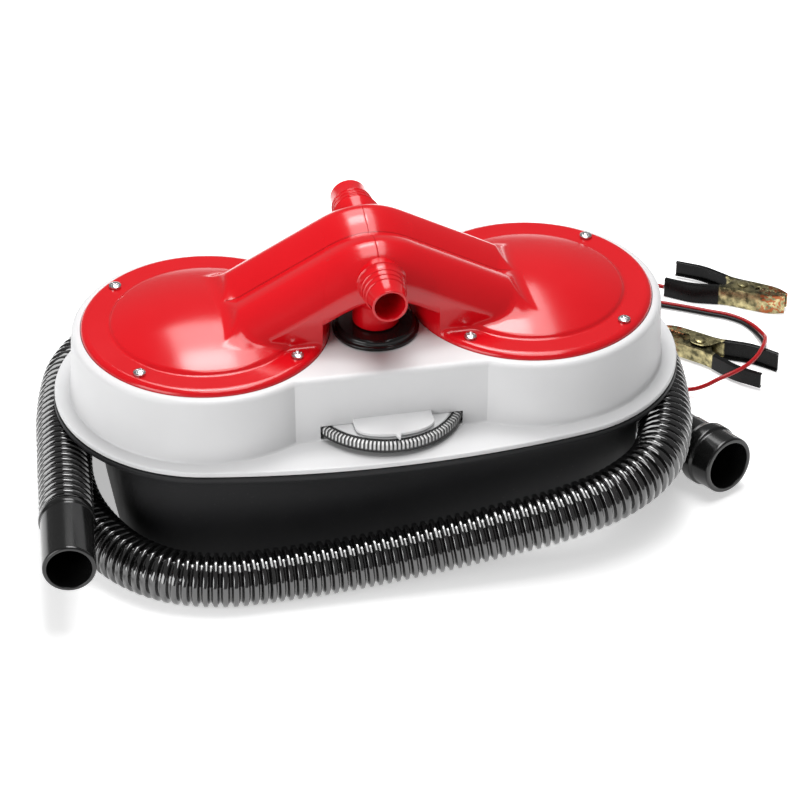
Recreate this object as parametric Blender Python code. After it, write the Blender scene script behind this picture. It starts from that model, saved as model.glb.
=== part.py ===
"""Twin-diaphragm 12 V air pump with its hose wound round the base.

Frame: origin at the middle of the base on the floor, +X along the two chambers, -Y to the front, +Z up.
"""

import math

import bmesh
import bpy
import numpy as np
from mathutils import Matrix, Vector

MM = 0.001

# Clearances
FIT = 0.3 * MM
RUNNING_FIT = 0.35 * MM
SCREW_CLEARANCE = 0.4 * MM

# Chambers and case
CHAMBER_SPACING = 176.0 * MM
LID_RADIUS = 66.0 * MM
RIM_WIDTH = 5.0 * MM
RIM_FILLET = 3.2 * MM
CASE_DRAFT = 1.5 * MM
CASE_WALL = 3.0 * MM
CASE_HEIGHT = 37.5 * MM
BRIDGE_HALF_WIDTH = 61.0 * MM
FLANGE_OVERHANG = 8.5 * MM
FLANGE_THICKNESS = 3.0 * MM
FLANGE_BOW = 8.3 * MM
DECK_THICKNESS = 3.5 * MM

# Base tub
FOOT_HEIGHT = 3.0 * MM
FOOT_RADIUS = 9.0 * MM
FOOT_STEM_RADIUS = 3.5 * MM
FOOT_INSET_X = 13.0 * MM
FOOT_Y = 33.0 * MM
BASE_HEIGHT = 60.9 * MM
BASE_FLOOR = 2.7 * MM
BASE_WALL = 3.0 * MM
TUB_END_INSET = 28.0 * MM
TUB_SIDE_INSET = 10.3 * MM
TUB_SQUARENESS = 4.6
COVE_HEIGHT = 16.5 * MM
COVE_SHARE = 0.7
LIP_INSET = 1.5 * MM
LIP_HEIGHT = 3.6 * MM

# Covers: lids and manifold
LID_SEAT_DEPTH = 3.0 * MM
LID_EDGE_LIFT = 3.0 * MM
LID_BEVEL = 3.7 * MM
DOME_INSET = 16.0 * MM
DOME_HEIGHT = 9.0 * MM
DOME_STEP = 1.5 * MM
DOME_WALL = 3.0 * MM
DIVIDER_HALF = 1.5 * MM
ARM_SLOPE = 0.545
ARM_APEX_HEIGHT = 34.5 * MM
ARM_APEX_BLEND = 22.0 * MM
RIDGE_SPREAD = 17.0 * MM
RIDGE_HEIGHT = 19.0 * MM
VALLEY_DEPTH = 3.5 * MM
ARM_BELLY = 10.0 * MM
ARM_WALL = 3.0 * MM
ARM_REACH = 16.0 * MM
NOSE_LENGTH = 8.5 * MM

# Spigots and sense tube
SPIGOT_HEIGHT = 37.0 * MM
SPIGOT_MOUTH_RADIUS = 9.5 * MM
SPIGOT_STEP = 0.75 * MM
SPIGOT_STEP_LENGTH = 7.0 * MM
SPIGOT_STEPS = 3
SPIGOT_BORE = 8.0 * MM
SPIGOT_TUCK = 8.0 * MM
SENSE_TUBE_RADIUS = 12.5 * MM
SENSE_NIPPLE_RADIUS = 5.0 * MM
SENSE_BORE = 2.5 * MM

# Relief capsule
CAPSULE_Y = -19.0 * MM
CAPSULE_GAP = 1.0 * MM
CAPSULE_CAP_HEIGHT = 5.0 * MM
CAPSULE_BODY_RADIUS = 13.5 * MM
CAPSULE_BODY_DEPTH = 23.0 * MM
CAPSULE_BORE = 8.0 * MM
CAPSULE_ROOF = 5.0 * MM
PLUNGER_RADIUS = 3.0 * MM
PLUNGER_COLLAR_RADIUS = 6.6 * MM
PLUNGER_COLLAR_HEIGHT = 2.0 * MM
RELIEF_SPRING_RADIUS = 5.2 * MM
RELIEF_SPRING_WIRE = 1.2 * MM
RELIEF_SPRING_TURNS = 4

# Pressure dial
DIAL_Y = -42.0 * MM
DIAL_RADIUS = 42.5 * MM
DIAL_LIFT = 2.3 * MM
DIAL_THICKNESS = 6.0 * MM
GRIP_WIDTH = 4.5 * MM
GRIP_TOOTH = 0.9 * MM
GRIP_TEETH = 44
CAM_WIDTH = 11.0 * MM
CAM_RISE = 3.0 * MM
CAM_LOW = 2.0 * MM
CAM_TURN = math.radians(270.0)
SPINDLE_RADIUS = 4.0 * MM
SPINDLE_DEPTH = 14.0 * MM
SPINDLE_HEAD_RADIUS = 6.5 * MM
SPINDLE_HEAD_HEIGHT = 1.2 * MM
SPINDLE_POST_RADIUS = 7.5 * MM
CANOPY_THICKNESS = 4.0 * MM
CANOPY_GAP = 1.0 * MM
CANOPY_HALF = 29.0 * MM
CANOPY_REACH = 11.0 * MM
CANOPY_CROWN = 8.0 * MM
CANOPY_POINT = 3.2 * MM

# Fasteners
SCREW_RADIUS = 1.6 * MM
SCREW_HEAD_RADIUS = 3.3 * MM
SCREW_HEAD_HEIGHT = 2.2 * MM
LID_SCREW_INSET = 7.0 * MM
LID_SCREW_BITE = 7.0 * MM
BASE_SCREW_X = 52.0 * MM
BASE_SCREW_Y = 48.0 * MM
BASE_SCREW_BITE = 12.0 * MM
POST_RADIUS = 4.8 * MM
COUNTERBORE_RADIUS = 3.8 * MM
COUNTERBORE_DEPTH = 8.0 * MM

# Chamber internals
SEAT_INSET = 11.0 * MM
SEAT_LEDGE = 7.0 * MM
ROLL_WIDTH = 18.5 * MM
VALVE_PLATE_THICKNESS = 3.3 * MM
DIAPHRAGM_BEAD = 2.0 * MM
DIAPHRAGM_WALL = 1.6 * MM
SHELF_THICKNESS = 4.0 * MM
VALVE_Y = 24.0 * MM
PORT_RADIUS = 3.4 * MM
PORT_RING = 8.6 * MM
PORT_COUNT = 4
FLAP_RADIUS = 13.0 * MM
FLAP_THICKNESS = 1.0 * MM
FLAP_STEM_RADIUS = 1.8 * MM
FLAP_BULB_RADIUS = 2.7 * MM
FLAP_BULB_HEIGHT = 1.8 * MM
PISTON_THICKNESS = 2.5 * MM
PISTON_HEAD_RADIUS = 7.0 * MM
PISTON_HEAD_HEIGHT = 2.0 * MM
PISTON_STEM_RADIUS = 3.5 * MM
PISTON_STEM_LENGTH = 8.0 * MM
PISTON_DROP = 12.0 * MM

# Motor and crank
MOTOR_RADIUS = 26.0 * MM
MOTOR_WALL = 2.0 * MM
MOTOR_LENGTH = 72.0 * MM
MOTOR_CLAMP_WIDTH = 30.0 * MM
MOTOR_CLAMP_WALL = 3.5 * MM
MOTOR_CLAMP_FOOT = 3.5 * MM
MOTOR_BOSS_RADIUS = 10.0 * MM
MOTOR_BOSS_LENGTH = 6.0 * MM
ARMATURE_RADIUS = 20.0 * MM
ARMATURE_LENGTH = 46.0 * MM
SHAFT_RADIUS = 4.0 * MM
CRANK_THROW = 4.0 * MM
ECCENTRIC_RADIUS = 9.0 * MM
ECCENTRIC_WIDTH = 12.0 * MM
ROD_WIDTH = 9.0 * MM
ROD_END_WALL = 5.0 * MM
ROD_SHANK = 8.0 * MM
ROD_PLATE_THICKNESS = 3.0 * MM

# Hose and cuffs
HOSE_RADIUS = 14.5 * MM
HOSE_RIB_DEPTH = 1.6 * MM
HOSE_BORE = 10.3 * MM
HOSE_RIBS = 80
LEFT_CUFF_LENGTH = 44.9 * MM
RIGHT_CUFF_LENGTH = 35.5 * MM
LEFT_CUFF = (14.0 * MM, 11.7 * MM, 0.0)
RIGHT_CUFF = (16.0 * MM, 13.2 * MM, 17.2 * MM)
RIDGE_BACK = 13.0 * MM
RIDGE_LENGTH = 7.0 * MM
CUFF_COLLAR_RADIUS = 14.9 * MM
CUFF_COLLAR_LENGTH = 5.0 * MM

# Lead, gland and clips
WIRE_RADIUS = 1.2 * MM
WIRE_SPACING = 2.9 * MM
GLAND_X = 30.0 * MM
GLAND_HEIGHT = 16.5 * MM
GLAND_NECK_RADIUS = 5.0 * MM
GLAND_FLANGE_RADIUS = 7.5 * MM
GLAND_BOOT_LENGTH = 20.0 * MM
COIL_CENTRE = (-20.0 * MM, 147.5 * MM)
COIL_OUTER = 34.5 * MM
COIL_PITCH = 6.4 * MM
COIL_TURNS_PER_LAYER = 1.75
COIL_STEPS = 24
CLIP_WIDTH = 12.0 * MM
CLIP_SHEET = 1.4 * MM
CLIP_EAR = 1.0 * MM
CLIP_PIN_RADIUS = 2.0 * MM
CLIP_EAR_RADIUS = 7.2 * MM
CLIP_JAW = 26.0 * MM
CLIP_HANDLE = 44.0 * MM
CLIP_HALF_SPREAD = 6.5 * MM
CLIP_HANDLE_SPREAD = 11.0 * MM
CLIP_SPRING_RADIUS = 3.6 * MM
CLIP_SPRING_WIRE = 1.0 * MM
CLIP_SPRING_TURNS = 3
RED_CLIP_PIVOT = (247.0 * MM, 119.0 * MM)
RED_CLIP_ANGLE = math.radians(-33.0)
BLACK_CLIP_PIVOT = (207.0 * MM, 68.0 * MM)
BLACK_CLIP_ANGLE = math.radians(138.0)

# Round counts
ROUND = 32
MEDIUM_ROUND = 18
SMALL_ROUND = 8

# Levels and places worked out from the sizes above
HALF_SPACING = CHAMBER_SPACING / 2
LID_SCREW_PITCH = LID_RADIUS - LID_SCREW_INSET
SEAT_RADIUS = LID_RADIUS - SEAT_INSET
CHAMBER_BORE = SEAT_RADIUS - SEAT_LEDGE
PISTON_RADIUS = CHAMBER_BORE - ROLL_WIDTH
ROD_PLATE_RADIUS = PISTON_RADIUS - 1.5 * MM
DOME_RADIUS = LID_RADIUS - DOME_INSET
BASE_BOTTOM = FOOT_HEIGHT + FIT
BASE_TOP = BASE_BOTTOM + BASE_HEIGHT
BASE_INSIDE = BASE_BOTTOM + BASE_FLOOR
FLANGE_BOTTOM = BASE_TOP + FIT
FLANGE_TOP = FLANGE_BOTTOM + FLANGE_THICKNESS
RIM_TOP = FLANGE_TOP + CASE_HEIGHT
CASE_RADIUS = LID_RADIUS + RIM_WIDTH
FLANGE_RADIUS = CASE_RADIUS + CASE_DRAFT + FLANGE_OVERHANG
FLANGE_HALF_WIDTH = FLANGE_RADIUS + FLANGE_BOW
SIDE_RADIUS = (HALF_SPACING**2 + FLANGE_HALF_WIDTH**2 - FLANGE_RADIUS**2) / (2 * FLANGE_BOW)
TUB_HALF_LENGTH = HALF_SPACING + FLANGE_RADIUS - TUB_END_INSET
TUB_HALF_WIDTH = FLANGE_HALF_WIDTH - TUB_SIDE_INSET
COVE_Z = BASE_TOP - LIP_HEIGHT - COVE_HEIGHT
LID_SEAT = RIM_TOP - LID_SEAT_DEPTH
CAPSULE_RADIUS = math.hypot(HALF_SPACING, CAPSULE_Y) - LID_RADIUS - CAPSULE_GAP
LID_BOTTOM = LID_SEAT + FIT
LID_TOP = RIM_TOP + LID_EDGE_LIFT
DOME_TOP = LID_TOP + DOME_STEP + DOME_HEIGHT
DOME_SPHERE = (DOME_RADIUS**2 + DOME_HEIGHT**2) / (2 * DOME_HEIGHT)
VALVE_TOP = LID_SEAT - FIT / 2
VALVE_BOTTOM = VALVE_TOP - VALVE_PLATE_THICKNESS
BEAD_TOP = VALVE_BOTTOM - FIT
BEAD_BOTTOM = BEAD_TOP - DIAPHRAGM_BEAD
STACK_SEAT = BEAD_BOTTOM - FIT
SHELF_BOTTOM = STACK_SEAT - SHELF_THICKNESS
DECK_BOTTOM = RIM_TOP - DECK_THICKNESS
ARM_APEX = RIM_TOP + ARM_APEX_HEIGHT
ARM_HALF_WIDTH = 2 * RIDGE_SPREAD
LID_INNER_EDGE = HALF_SPACING - math.sqrt(LID_RADIUS**2 - ARM_HALF_WIDTH**2)
ARM_FULL_END = HALF_SPACING - ARM_REACH
SPIGOT_Z = RIM_TOP + SPIGOT_HEIGHT
SPIGOT_ROOT_RADIUS = SPIGOT_MOUTH_RADIUS + SPIGOT_STEPS * SPIGOT_STEP
DIAL_BOTTOM = FLANGE_TOP + DIAL_LIFT
DIAL_TOP = DIAL_BOTTOM + DIAL_THICKNESS
CAM_RADIUS = CAPSULE_Y - DIAL_Y
CANOPY_BOTTOM = DIAL_TOP + CANOPY_GAP
CAPSULE_BOTTOM = RIM_TOP + FIT - CAPSULE_BODY_DEPTH
CAPSULE_TOP = RIM_TOP + FIT + CAPSULE_CAP_HEIGHT
PLUNGER_TIP = DIAL_BOTTOM + CAM_LOW + RUNNING_FIT
PLUNGER_COLLAR_Z = CAPSULE_BOTTOM + RUNNING_FIT
MOTOR_Z = BASE_INSIDE + FIT + MOTOR_CLAMP_WALL + FIT + MOTOR_RADIUS
DIAPHRAGM_Z = BEAD_BOTTOM - PISTON_DROP
GLAND_Z = FLANGE_TOP + GLAND_HEIGHT
GLAND_END = BRIDGE_HALF_WIDTH + CASE_DRAFT + GLAND_BOOT_LENGTH

# Colour, roughness and metallic value of each finish
FINISHES = {
    "black_gloss": ((0.012, 0.012, 0.013), 0.22, 0.0),
    "white": ((0.80, 0.80, 0.79), 0.45, 0.0),
    "red": ((0.78, 0.010, 0.022), 0.28, 0.0),
    "black": ((0.014, 0.014, 0.015), 0.45, 0.0),
    "hose": ((0.010, 0.010, 0.011), 0.25, 0.0),
    "rubber": ((0.03, 0.03, 0.03), 0.8, 0.0),
    "steel": ((0.62, 0.62, 0.60), 0.3, 1.0),
    "can": ((0.42, 0.43, 0.44), 0.4, 1.0),
    "plated": ((0.62, 0.52, 0.28), 0.35, 1.0),
    "alloy": ((0.66, 0.67, 0.68), 0.4, 1.0),
    "nylon": ((0.72, 0.71, 0.66), 0.5, 0.0),
    "red_wire": ((0.55, 0.01, 0.02), 0.4, 0.0),
    "black_wire": ((0.012, 0.012, 0.012), 0.4, 0.0),
}


def finish(obj, kind):
    """Give an object its own Principled material."""
    colour, roughness, metallic = FINISHES[kind]
    material = bpy.data.materials.new(obj.name + "_finish")
    material.use_nodes = True
    shader = material.node_tree.nodes["Principled BSDF"]
    shader.inputs["Base Color"].default_value = (*colour, 1.0)
    shader.inputs["Roughness"].default_value = roughness
    shader.inputs["Metallic"].default_value = metallic
    obj.data.materials.clear()
    obj.data.materials.append(material)
    return obj


def add_object(name, mesh, kind=None, parent=None):
    obj = bpy.data.objects.new(name, mesh)
    bpy.context.collection.objects.link(obj)
    obj.parent = parent
    if kind:
        finish(obj, kind)
    return obj


def smooth(obj, angle=35.0):
    obj.data.shade_smooth()
    obj.data.set_sharp_from_angle(angle=math.radians(angle))
    return obj


def add_empty(name, place):
    empty = bpy.data.objects.new(name, None)
    empty.location = place
    bpy.context.collection.objects.link(empty)
    return empty


def mesh_from(bm, name="shape"):
    bmesh.ops.recalc_face_normals(bm, faces=bm.faces)
    mesh = bpy.data.meshes.new(name)
    bm.to_mesh(mesh)
    bm.free()
    return mesh


def loft(rings, closed=False):
    """Skin rings of points. Open lofts get flat ends, closed ones join the last ring to the first."""
    bm = bmesh.new()
    rows = [[bm.verts.new(point) for point in ring] for ring in rings]
    count = len(rows[0])
    pairs = list(zip(rows, rows[1:]))
    if closed:
        pairs.append((rows[-1], rows[0]))
    for low, high in pairs:
        for i in range(count):
            j = (i + 1) % count
            bm.faces.new((low[i], low[j], high[j], high[i]))
    if not closed:
        bm.faces.new(list(reversed(rows[0])))
        bm.faces.new(rows[-1])
    return mesh_from(bm)


def revolve(profile, steps, frame=None):
    """Turn a profile of (radius, height) about Z. A radius of 0 at both ends makes two poles."""
    frame = frame or Matrix.Identity(4)
    bm = bmesh.new()
    rows = []
    for radius, height in profile:
        if radius == 0.0:
            rows.append([bm.verts.new(frame @ Vector((0.0, 0.0, height)))])
            continue
        turn = [2 * math.pi * i / steps for i in range(steps)]
        points = [Vector((radius * math.cos(a), radius * math.sin(a), height)) for a in turn]
        rows.append([bm.verts.new(frame @ point) for point in points])
    pairs = list(zip(rows, rows[1:]))
    if len(rows[0]) > 1:
        pairs.append((rows[-1], rows[0]))
    for first, second in pairs:
        for i in range(steps):
            j = (i + 1) % steps
            corners = [first[i % len(first)], first[j % len(first)]]
            corners += [second[j % len(second)], second[i % len(second)]]
            unique = list(dict.fromkeys(corners))
            bm.faces.new(unique)
    return mesh_from(bm)


def place(x, y, z=0.0):
    return Matrix.Translation((x, y, z))


def along(origin, direction):
    """A frame whose Z runs along a direction."""
    turn = Vector(direction).to_track_quat("Z", "Y").to_matrix().to_4x4()
    return Matrix.Translation(origin) @ turn


def ring_profile(inner, outer, low, high):
    return [(inner, low), (outer, low), (outer, high), (inner, high)]


def rod_profile(radius, low, high):
    return [(0.0, low), (radius, low), (radius, high), (0.0, high)]


def bore_tool(radius, low, high, steps, frame=None):
    """A round cutter whose flats stand at the radius, so a pin of that radius passes."""
    return revolve(rod_profile(radius / math.cos(math.pi / steps), low, high), steps, frame)


def prism(outline, low, high):
    return loft([[Vector((x, y, z)) for x, y in outline] for z in (low, high)])


def block(x, y, z):
    """A box from three (low, high) pairs."""
    outline = [(x[0], y[0]), (x[1], y[0]), (x[1], y[1]), (x[0], y[1])]
    return prism(outline, *z)


def gather(meshes):
    """Put several separate shapes into one mesh, for use as a cutter."""
    bm = bmesh.new()
    for mesh in meshes:
        bm.from_mesh(mesh)
        bpy.data.meshes.remove(mesh)
    mesh = bpy.data.meshes.new("gathered")
    bm.to_mesh(mesh)
    bm.free()
    return mesh


def combine(mesh, tool, operation):
    """Boolean one mesh with another and return the result."""
    body = add_object("body", mesh)
    cutter = add_object("cutter", tool)
    cutter.hide_render = True
    cutter.display_type = "WIRE"
    modifier = body.modifiers.new("combine", "BOOLEAN")
    modifier.object = cutter
    modifier.operation = operation
    modifier.solver = "EXACT"
    depsgraph = bpy.context.evaluated_depsgraph_get()
    result = bpy.data.meshes.new_from_object(body.evaluated_get(depsgraph))
    for obj in (body, cutter):
        bpy.data.objects.remove(obj, do_unlink=True)
    return result


def cut(mesh, *tools):
    for tool in tools:
        mesh = combine(mesh, tool, "DIFFERENCE")
    return mesh


def join(mesh, *tools):
    for tool in tools:
        mesh = combine(mesh, tool, "UNION")
    return mesh


def arc_points(centre, radius, start, end, steps):
    angles = [start + (end - start) * i / steps for i in range(steps + 1)]
    return [(centre[0] + radius * math.cos(a), centre[1] + radius * math.sin(a)) for a in angles]


def racetrack(offset, end_steps=12, side_steps=4):
    """The flange outline, moved out by offset: round ends joined by gently bowed sides."""
    reach = SIDE_RADIUS - FLANGE_HALF_WIDTH
    lean = math.atan2(HALF_SPACING, reach)
    end = FLANGE_RADIUS + offset
    side = SIDE_RADIUS + offset
    quarter = math.pi / 2
    points = arc_points((HALF_SPACING, 0.0), end, lean - quarter, quarter - lean, end_steps)[:-1]
    points += arc_points((0.0, -reach), side, quarter - lean, quarter + lean, side_steps)[:-1]
    points += arc_points((-HALF_SPACING, 0.0), end, quarter + lean, 3 * quarter - lean, end_steps)[:-1]
    points += arc_points((0.0, reach), side, 3 * quarter - lean, 3 * quarter + lean, side_steps)[:-1]
    return points


def case_outline(offset, steps=21):
    """Two chamber circles with the bridge between them, moved out by offset."""
    radius = CASE_RADIUS + offset
    bridge = BRIDGE_HALF_WIDTH + offset
    open_angle = math.pi - math.asin(bridge / radius)
    right = arc_points((HALF_SPACING, 0.0), radius, -open_angle, open_angle, steps)
    left = [(-x, -y) for x, y in right]
    return right + left


def outline_loft(outline, levels):
    """Loft an outline function through (offset, height) levels."""
    return loft([[Vector((x, y, z)) for x, y in outline(offset)] for offset, z in levels])


def dome_z(radius, top=DOME_TOP):
    return top - DOME_SPHERE + math.sqrt(DOME_SPHERE**2 - radius**2)


def build_feet():
    x = HALF_SPACING + FOOT_INSET_X
    spots = [(x, -FOOT_Y), (x, FOOT_Y), (-x, -FOOT_Y), (-x, FOOT_Y)]
    stem_top = BASE_INSIDE + FIT
    head = FOOT_STEM_RADIUS + 1.2 * MM
    profile = [
        (0.0, 0.0),
        (FOOT_RADIUS - 1.0 * MM, 0.0),
        (FOOT_RADIUS, 1.0 * MM),
        (FOOT_RADIUS, FOOT_HEIGHT),
        (FOOT_STEM_RADIUS, FOOT_HEIGHT),
        (FOOT_STEM_RADIUS, stem_top),
        (head, stem_top),
        (FOOT_STEM_RADIUS - 1.0 * MM, stem_top + 2.5 * MM),
        (0.0, stem_top + 2.5 * MM),
    ]
    for number, (foot_x, foot_y) in enumerate(spots, 1):
        mesh = revolve(profile, SMALL_ROUND, place(foot_x, foot_y))
        smooth(add_object(f"foot_{number}", mesh, "rubber"))
    return spots


def base_screw_spots():
    return [(sx * BASE_SCREW_X, sy * BASE_SCREW_Y) for sx in (1, -1) for sy in (-1, 1)]


def tub_ring(inset, z, share=0.0):
    """The tub wall at one height: a rounded oblong, drawn out by a share of the way to the lip outline."""
    ring = []
    for x, y in racetrack(-LIP_INSET - inset):
        reach = (abs(x) / (TUB_HALF_LENGTH - inset)) ** TUB_SQUARENESS
        reach += (abs(y) / (TUB_HALF_WIDTH - inset)) ** TUB_SQUARENESS
        scale = reach ** (-1.0 / TUB_SQUARENESS)
        scale += (1.0 - scale) * share
        ring.append(Vector((x * scale, y * scale, z)))
    return ring


def cove_rings(inset, rise, angles):
    """Rings of the cove in which the wall sweeps out above the upper turn of hose."""
    turns = [math.radians(angle) for angle in angles]
    return [tub_ring(inset, COVE_Z + rise * math.sin(a), COVE_SHARE * (1.0 - math.cos(a))) for a in turns]


def build_base(foot_spots):
    rings = [tub_ring(2.5 * MM, BASE_BOTTOM), tub_ring(0.0, BASE_BOTTOM + 2.5 * MM)]
    rings += cove_rings(0.0, COVE_HEIGHT, (0.0, 30.0, 60.0, 90.0))
    rings += [
        tub_ring(1.0 * MM, BASE_TOP - LIP_HEIGHT, 1.0),
        tub_ring(0.0, BASE_TOP - LIP_HEIGHT * 0.6, 1.0),
        tub_ring(0.6 * MM, BASE_TOP, 1.0),
        tub_ring(BASE_WALL, BASE_TOP, 1.0),
    ]
    rings += cove_rings(BASE_WALL, COVE_HEIGHT + BASE_WALL, (90.0, 60.0, 30.0, 0.0))
    rings.append(tub_ring(BASE_WALL, BASE_INSIDE))
    mesh = loft(rings)
    post_top = FLANGE_BOTTOM + FLANGE_THICKNESS / 2
    posts = [
        revolve(rod_profile(POST_RADIUS, BASE_BOTTOM + BASE_FLOOR / 2, post_top), SMALL_ROUND, place(x, y))
        for x, y in base_screw_spots()
    ]
    spindle_post_top = DIAL_BOTTOM - FIT
    spindle_low = BASE_BOTTOM + BASE_FLOOR / 2
    spindle_post = rod_profile(SPINDLE_POST_RADIUS, spindle_low, spindle_post_top)
    posts.append(revolve(spindle_post, SMALL_ROUND + 3, place(0.0, DIAL_Y)))
    mesh = join(mesh, gather(posts))
    low = BASE_BOTTOM - 1.0 * MM
    holes = []
    for x, y in base_screw_spots():
        shank = SCREW_RADIUS + SCREW_CLEARANCE
        profile = [
            (0.0, low),
            (COUNTERBORE_RADIUS, low),
            (COUNTERBORE_RADIUS, BASE_BOTTOM + COUNTERBORE_DEPTH),
            (shank, BASE_BOTTOM + COUNTERBORE_DEPTH),
            (shank, post_top + 1.0 * MM),
            (0.0, post_top + 1.0 * MM),
        ]
        holes.append(revolve(profile, SMALL_ROUND, place(x, y)))
    for x, y in foot_spots:
        hole = rod_profile(FOOT_STEM_RADIUS + FIT, low, BASE_INSIDE + 1.0 * MM)
        holes.append(revolve(hole, SMALL_ROUND, place(x, y)))
    pocket = (spindle_post_top - SPINDLE_DEPTH, spindle_post_top + 1.0 * MM)
    holes.append(bore_tool(SPINDLE_RADIUS + FIT, *pocket, SMALL_ROUND, place(0.0, DIAL_Y)))
    mesh = cut(mesh, gather(holes))
    return smooth(add_object("base_tub", mesh, "black_gloss"))


def canopy_outline():
    """The pointer ledge over the dial: straight sides, a crowned middle and a short point."""
    root = -(BRIDGE_HALF_WIDTH - CASE_WALL / 2)
    ledge = -BRIDGE_HALF_WIDTH - CANOPY_REACH
    crown_half = CANOPY_HALF * 0.68
    crown = []
    for i in range(1, 6):
        t = i / 6
        x = -crown_half * math.cos(math.pi * t / 2)
        crown.append((x, ledge - CANOPY_CROWN * math.sin(math.pi * t / 2)))
    left = [(-CANOPY_HALF, root), (-CANOPY_HALF, ledge), (-crown_half, ledge)] + crown
    tip = [(0.0, ledge - CANOPY_CROWN - CANOPY_POINT)]
    right = [(-x, y) for x, y in reversed(left)]
    return left + tip + right


def lid_screw_spots(side):
    centre = side * HALF_SPACING
    turns = [math.radians(45.0 + 90.0 * i) for i in range(4)]
    return [(centre + LID_SCREW_PITCH * math.cos(a), LID_SCREW_PITCH * math.sin(a)) for a in turns]


def build_case():
    plate = [
        (-0.8 * MM, FLANGE_BOTTOM),
        (0.0, FLANGE_BOTTOM + 0.8 * MM),
        (0.0, FLANGE_TOP - 1.0 * MM),
        (-1.0 * MM, FLANGE_TOP),
    ]
    mesh = outline_loft(racetrack, plate)
    walls = [(CASE_DRAFT, FLANGE_BOTTOM + FLANGE_THICKNESS / 2), (CASE_DRAFT, FLANGE_TOP + 0.5 * MM)]
    for angle in (0.0, 45.0, 90.0):
        a = math.radians(angle)
        inset = RIM_FILLET * (1 - math.cos(a))
        walls.append((-inset, RIM_TOP - RIM_FILLET * (1 - math.sin(a))))
    mesh = join(mesh, outline_loft(case_outline, walls))
    low = FLANGE_BOTTOM - 1.0 * MM
    cavity = [(CASE_DRAFT - CASE_WALL, low), (-CASE_WALL, SHELF_BOTTOM)]
    bridge_x = HALF_SPACING - LID_RADIUS - CASE_WALL
    bridge_y = BRIDGE_HALF_WIDTH - CASE_WALL
    bridge_room = block((-bridge_x, bridge_x), (-bridge_y, bridge_y), (SHELF_BOTTOM - 1.0 * MM, DECK_BOTTOM))
    mesh = cut(mesh, outline_loft(case_outline, cavity), bridge_room)
    bosses = []
    for x, y in base_screw_spots():
        boss_low = FLANGE_BOTTOM + FLANGE_THICKNESS / 2 + FIT
        profile = rod_profile(POST_RADIUS, boss_low, SHELF_BOTTOM + SHELF_THICKNESS / 2)
        bosses.append(revolve(profile, SMALL_ROUND, place(x, y)))
    mesh = join(mesh, gather(bosses), prism(canopy_outline(), CANOPY_BOTTOM, CANOPY_BOTTOM + CANOPY_THICKNESS))
    recesses = []
    top = RIM_TOP + 1.0 * MM
    for side in (-1, 1):
        profile = [
            (0.0, low),
            (CHAMBER_BORE, low),
            (CHAMBER_BORE, STACK_SEAT),
            (SEAT_RADIUS + FIT, STACK_SEAT),
            (SEAT_RADIUS + FIT, LID_SEAT),
            (LID_RADIUS + FIT, LID_SEAT),
            (LID_RADIUS + FIT, top),
            (0.0, top),
        ]
        recesses.append(revolve(profile, ROUND, place(side * HALF_SPACING, 0.0)))
    mesh = cut(mesh, gather(recesses))
    half_slot = math.sqrt(DIAL_RADIUS**2 - (BRIDGE_HALF_WIDTH - CASE_WALL + DIAL_Y) ** 2) + 1.5 * MM
    slot_y = (-BRIDGE_HALF_WIDTH - CASE_DRAFT - 2.0 * MM, -BRIDGE_HALF_WIDTH + CASE_WALL + 2.0 * MM)
    slot = block((-half_slot, half_slot), slot_y, (FLANGE_TOP + 0.6 * MM, CANOPY_BOTTOM))
    holes = []
    for side in (-1, 1):
        for x, y in lid_screw_spots(side):
            profile = rod_profile(SCREW_RADIUS + FIT, SHELF_BOTTOM + 1.0 * MM, LID_SEAT + 1.0 * MM)
            holes.append(revolve(profile, SMALL_ROUND, place(x, y)))
    for x, y in base_screw_spots():
        pilot_top = FLANGE_TOP + BASE_SCREW_BITE + 2.0 * MM
        holes.append(revolve(rod_profile(SCREW_RADIUS + FIT, low, pilot_top), SMALL_ROUND, place(x, y)))
    deck_hole = rod_profile(CAPSULE_BODY_RADIUS + FIT, SHELF_BOTTOM, top)
    holes.append(revolve(deck_hole, MEDIUM_ROUND, place(0.0, CAPSULE_Y)))
    gland_frame = along((GLAND_X, BRIDGE_HALF_WIDTH - 2 * CASE_WALL, GLAND_Z), (0, 1, 0))
    holes.append(bore_tool(GLAND_NECK_RADIUS + FIT, 0.0, 4 * CASE_WALL, SMALL_ROUND, gland_frame))
    mesh = cut(mesh, slot, gather(holes))
    return smooth(add_object("upper_case", mesh, "white"))


def arm_axis_z(x):
    """Height of the duct axis along an arm: a straight slope with a rounded top at the seam."""
    reach = abs(x)
    blend = ARM_APEX_BLEND
    if reach < blend:
        return ARM_APEX - ARM_SLOPE * reach**2 / (2 * blend)
    return ARM_APEX - ARM_SLOPE * (reach - blend / 2)


def ridge_profile(shrink=1.0, wall=0.0):
    """Two ducts side by side: (y, height above the axis) from front to back."""
    spread = RIDGE_SPREAD
    width = (spread - wall) * shrink
    height = (RIDGE_HEIGHT - wall) * shrink
    valley = VALLEY_DEPTH * shrink
    outer = [(spread + width * math.sin(a), height * math.cos(a)) for a in map(math.radians, (90, 68, 45, 22, 0))]
    inner = []
    for share in (0.62, 0.28, 0.06):
        inner.append((spread * share, height - valley * (1 - share) ** 2))
    back = outer + inner
    front = [(-y, z) for y, z in back]
    return front + list(reversed(back))


def arm_ring(side, x, shrink, bottom):
    z = arm_axis_z(x)
    edge = RIDGE_SPREAD + RIDGE_SPREAD * shrink
    points = [Vector((side * x, y, z + up)) for y, up in ridge_profile(shrink)]
    points.append(Vector((side * x, edge, bottom)))
    points.append(Vector((side * x, -edge, bottom)))
    return points


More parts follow.
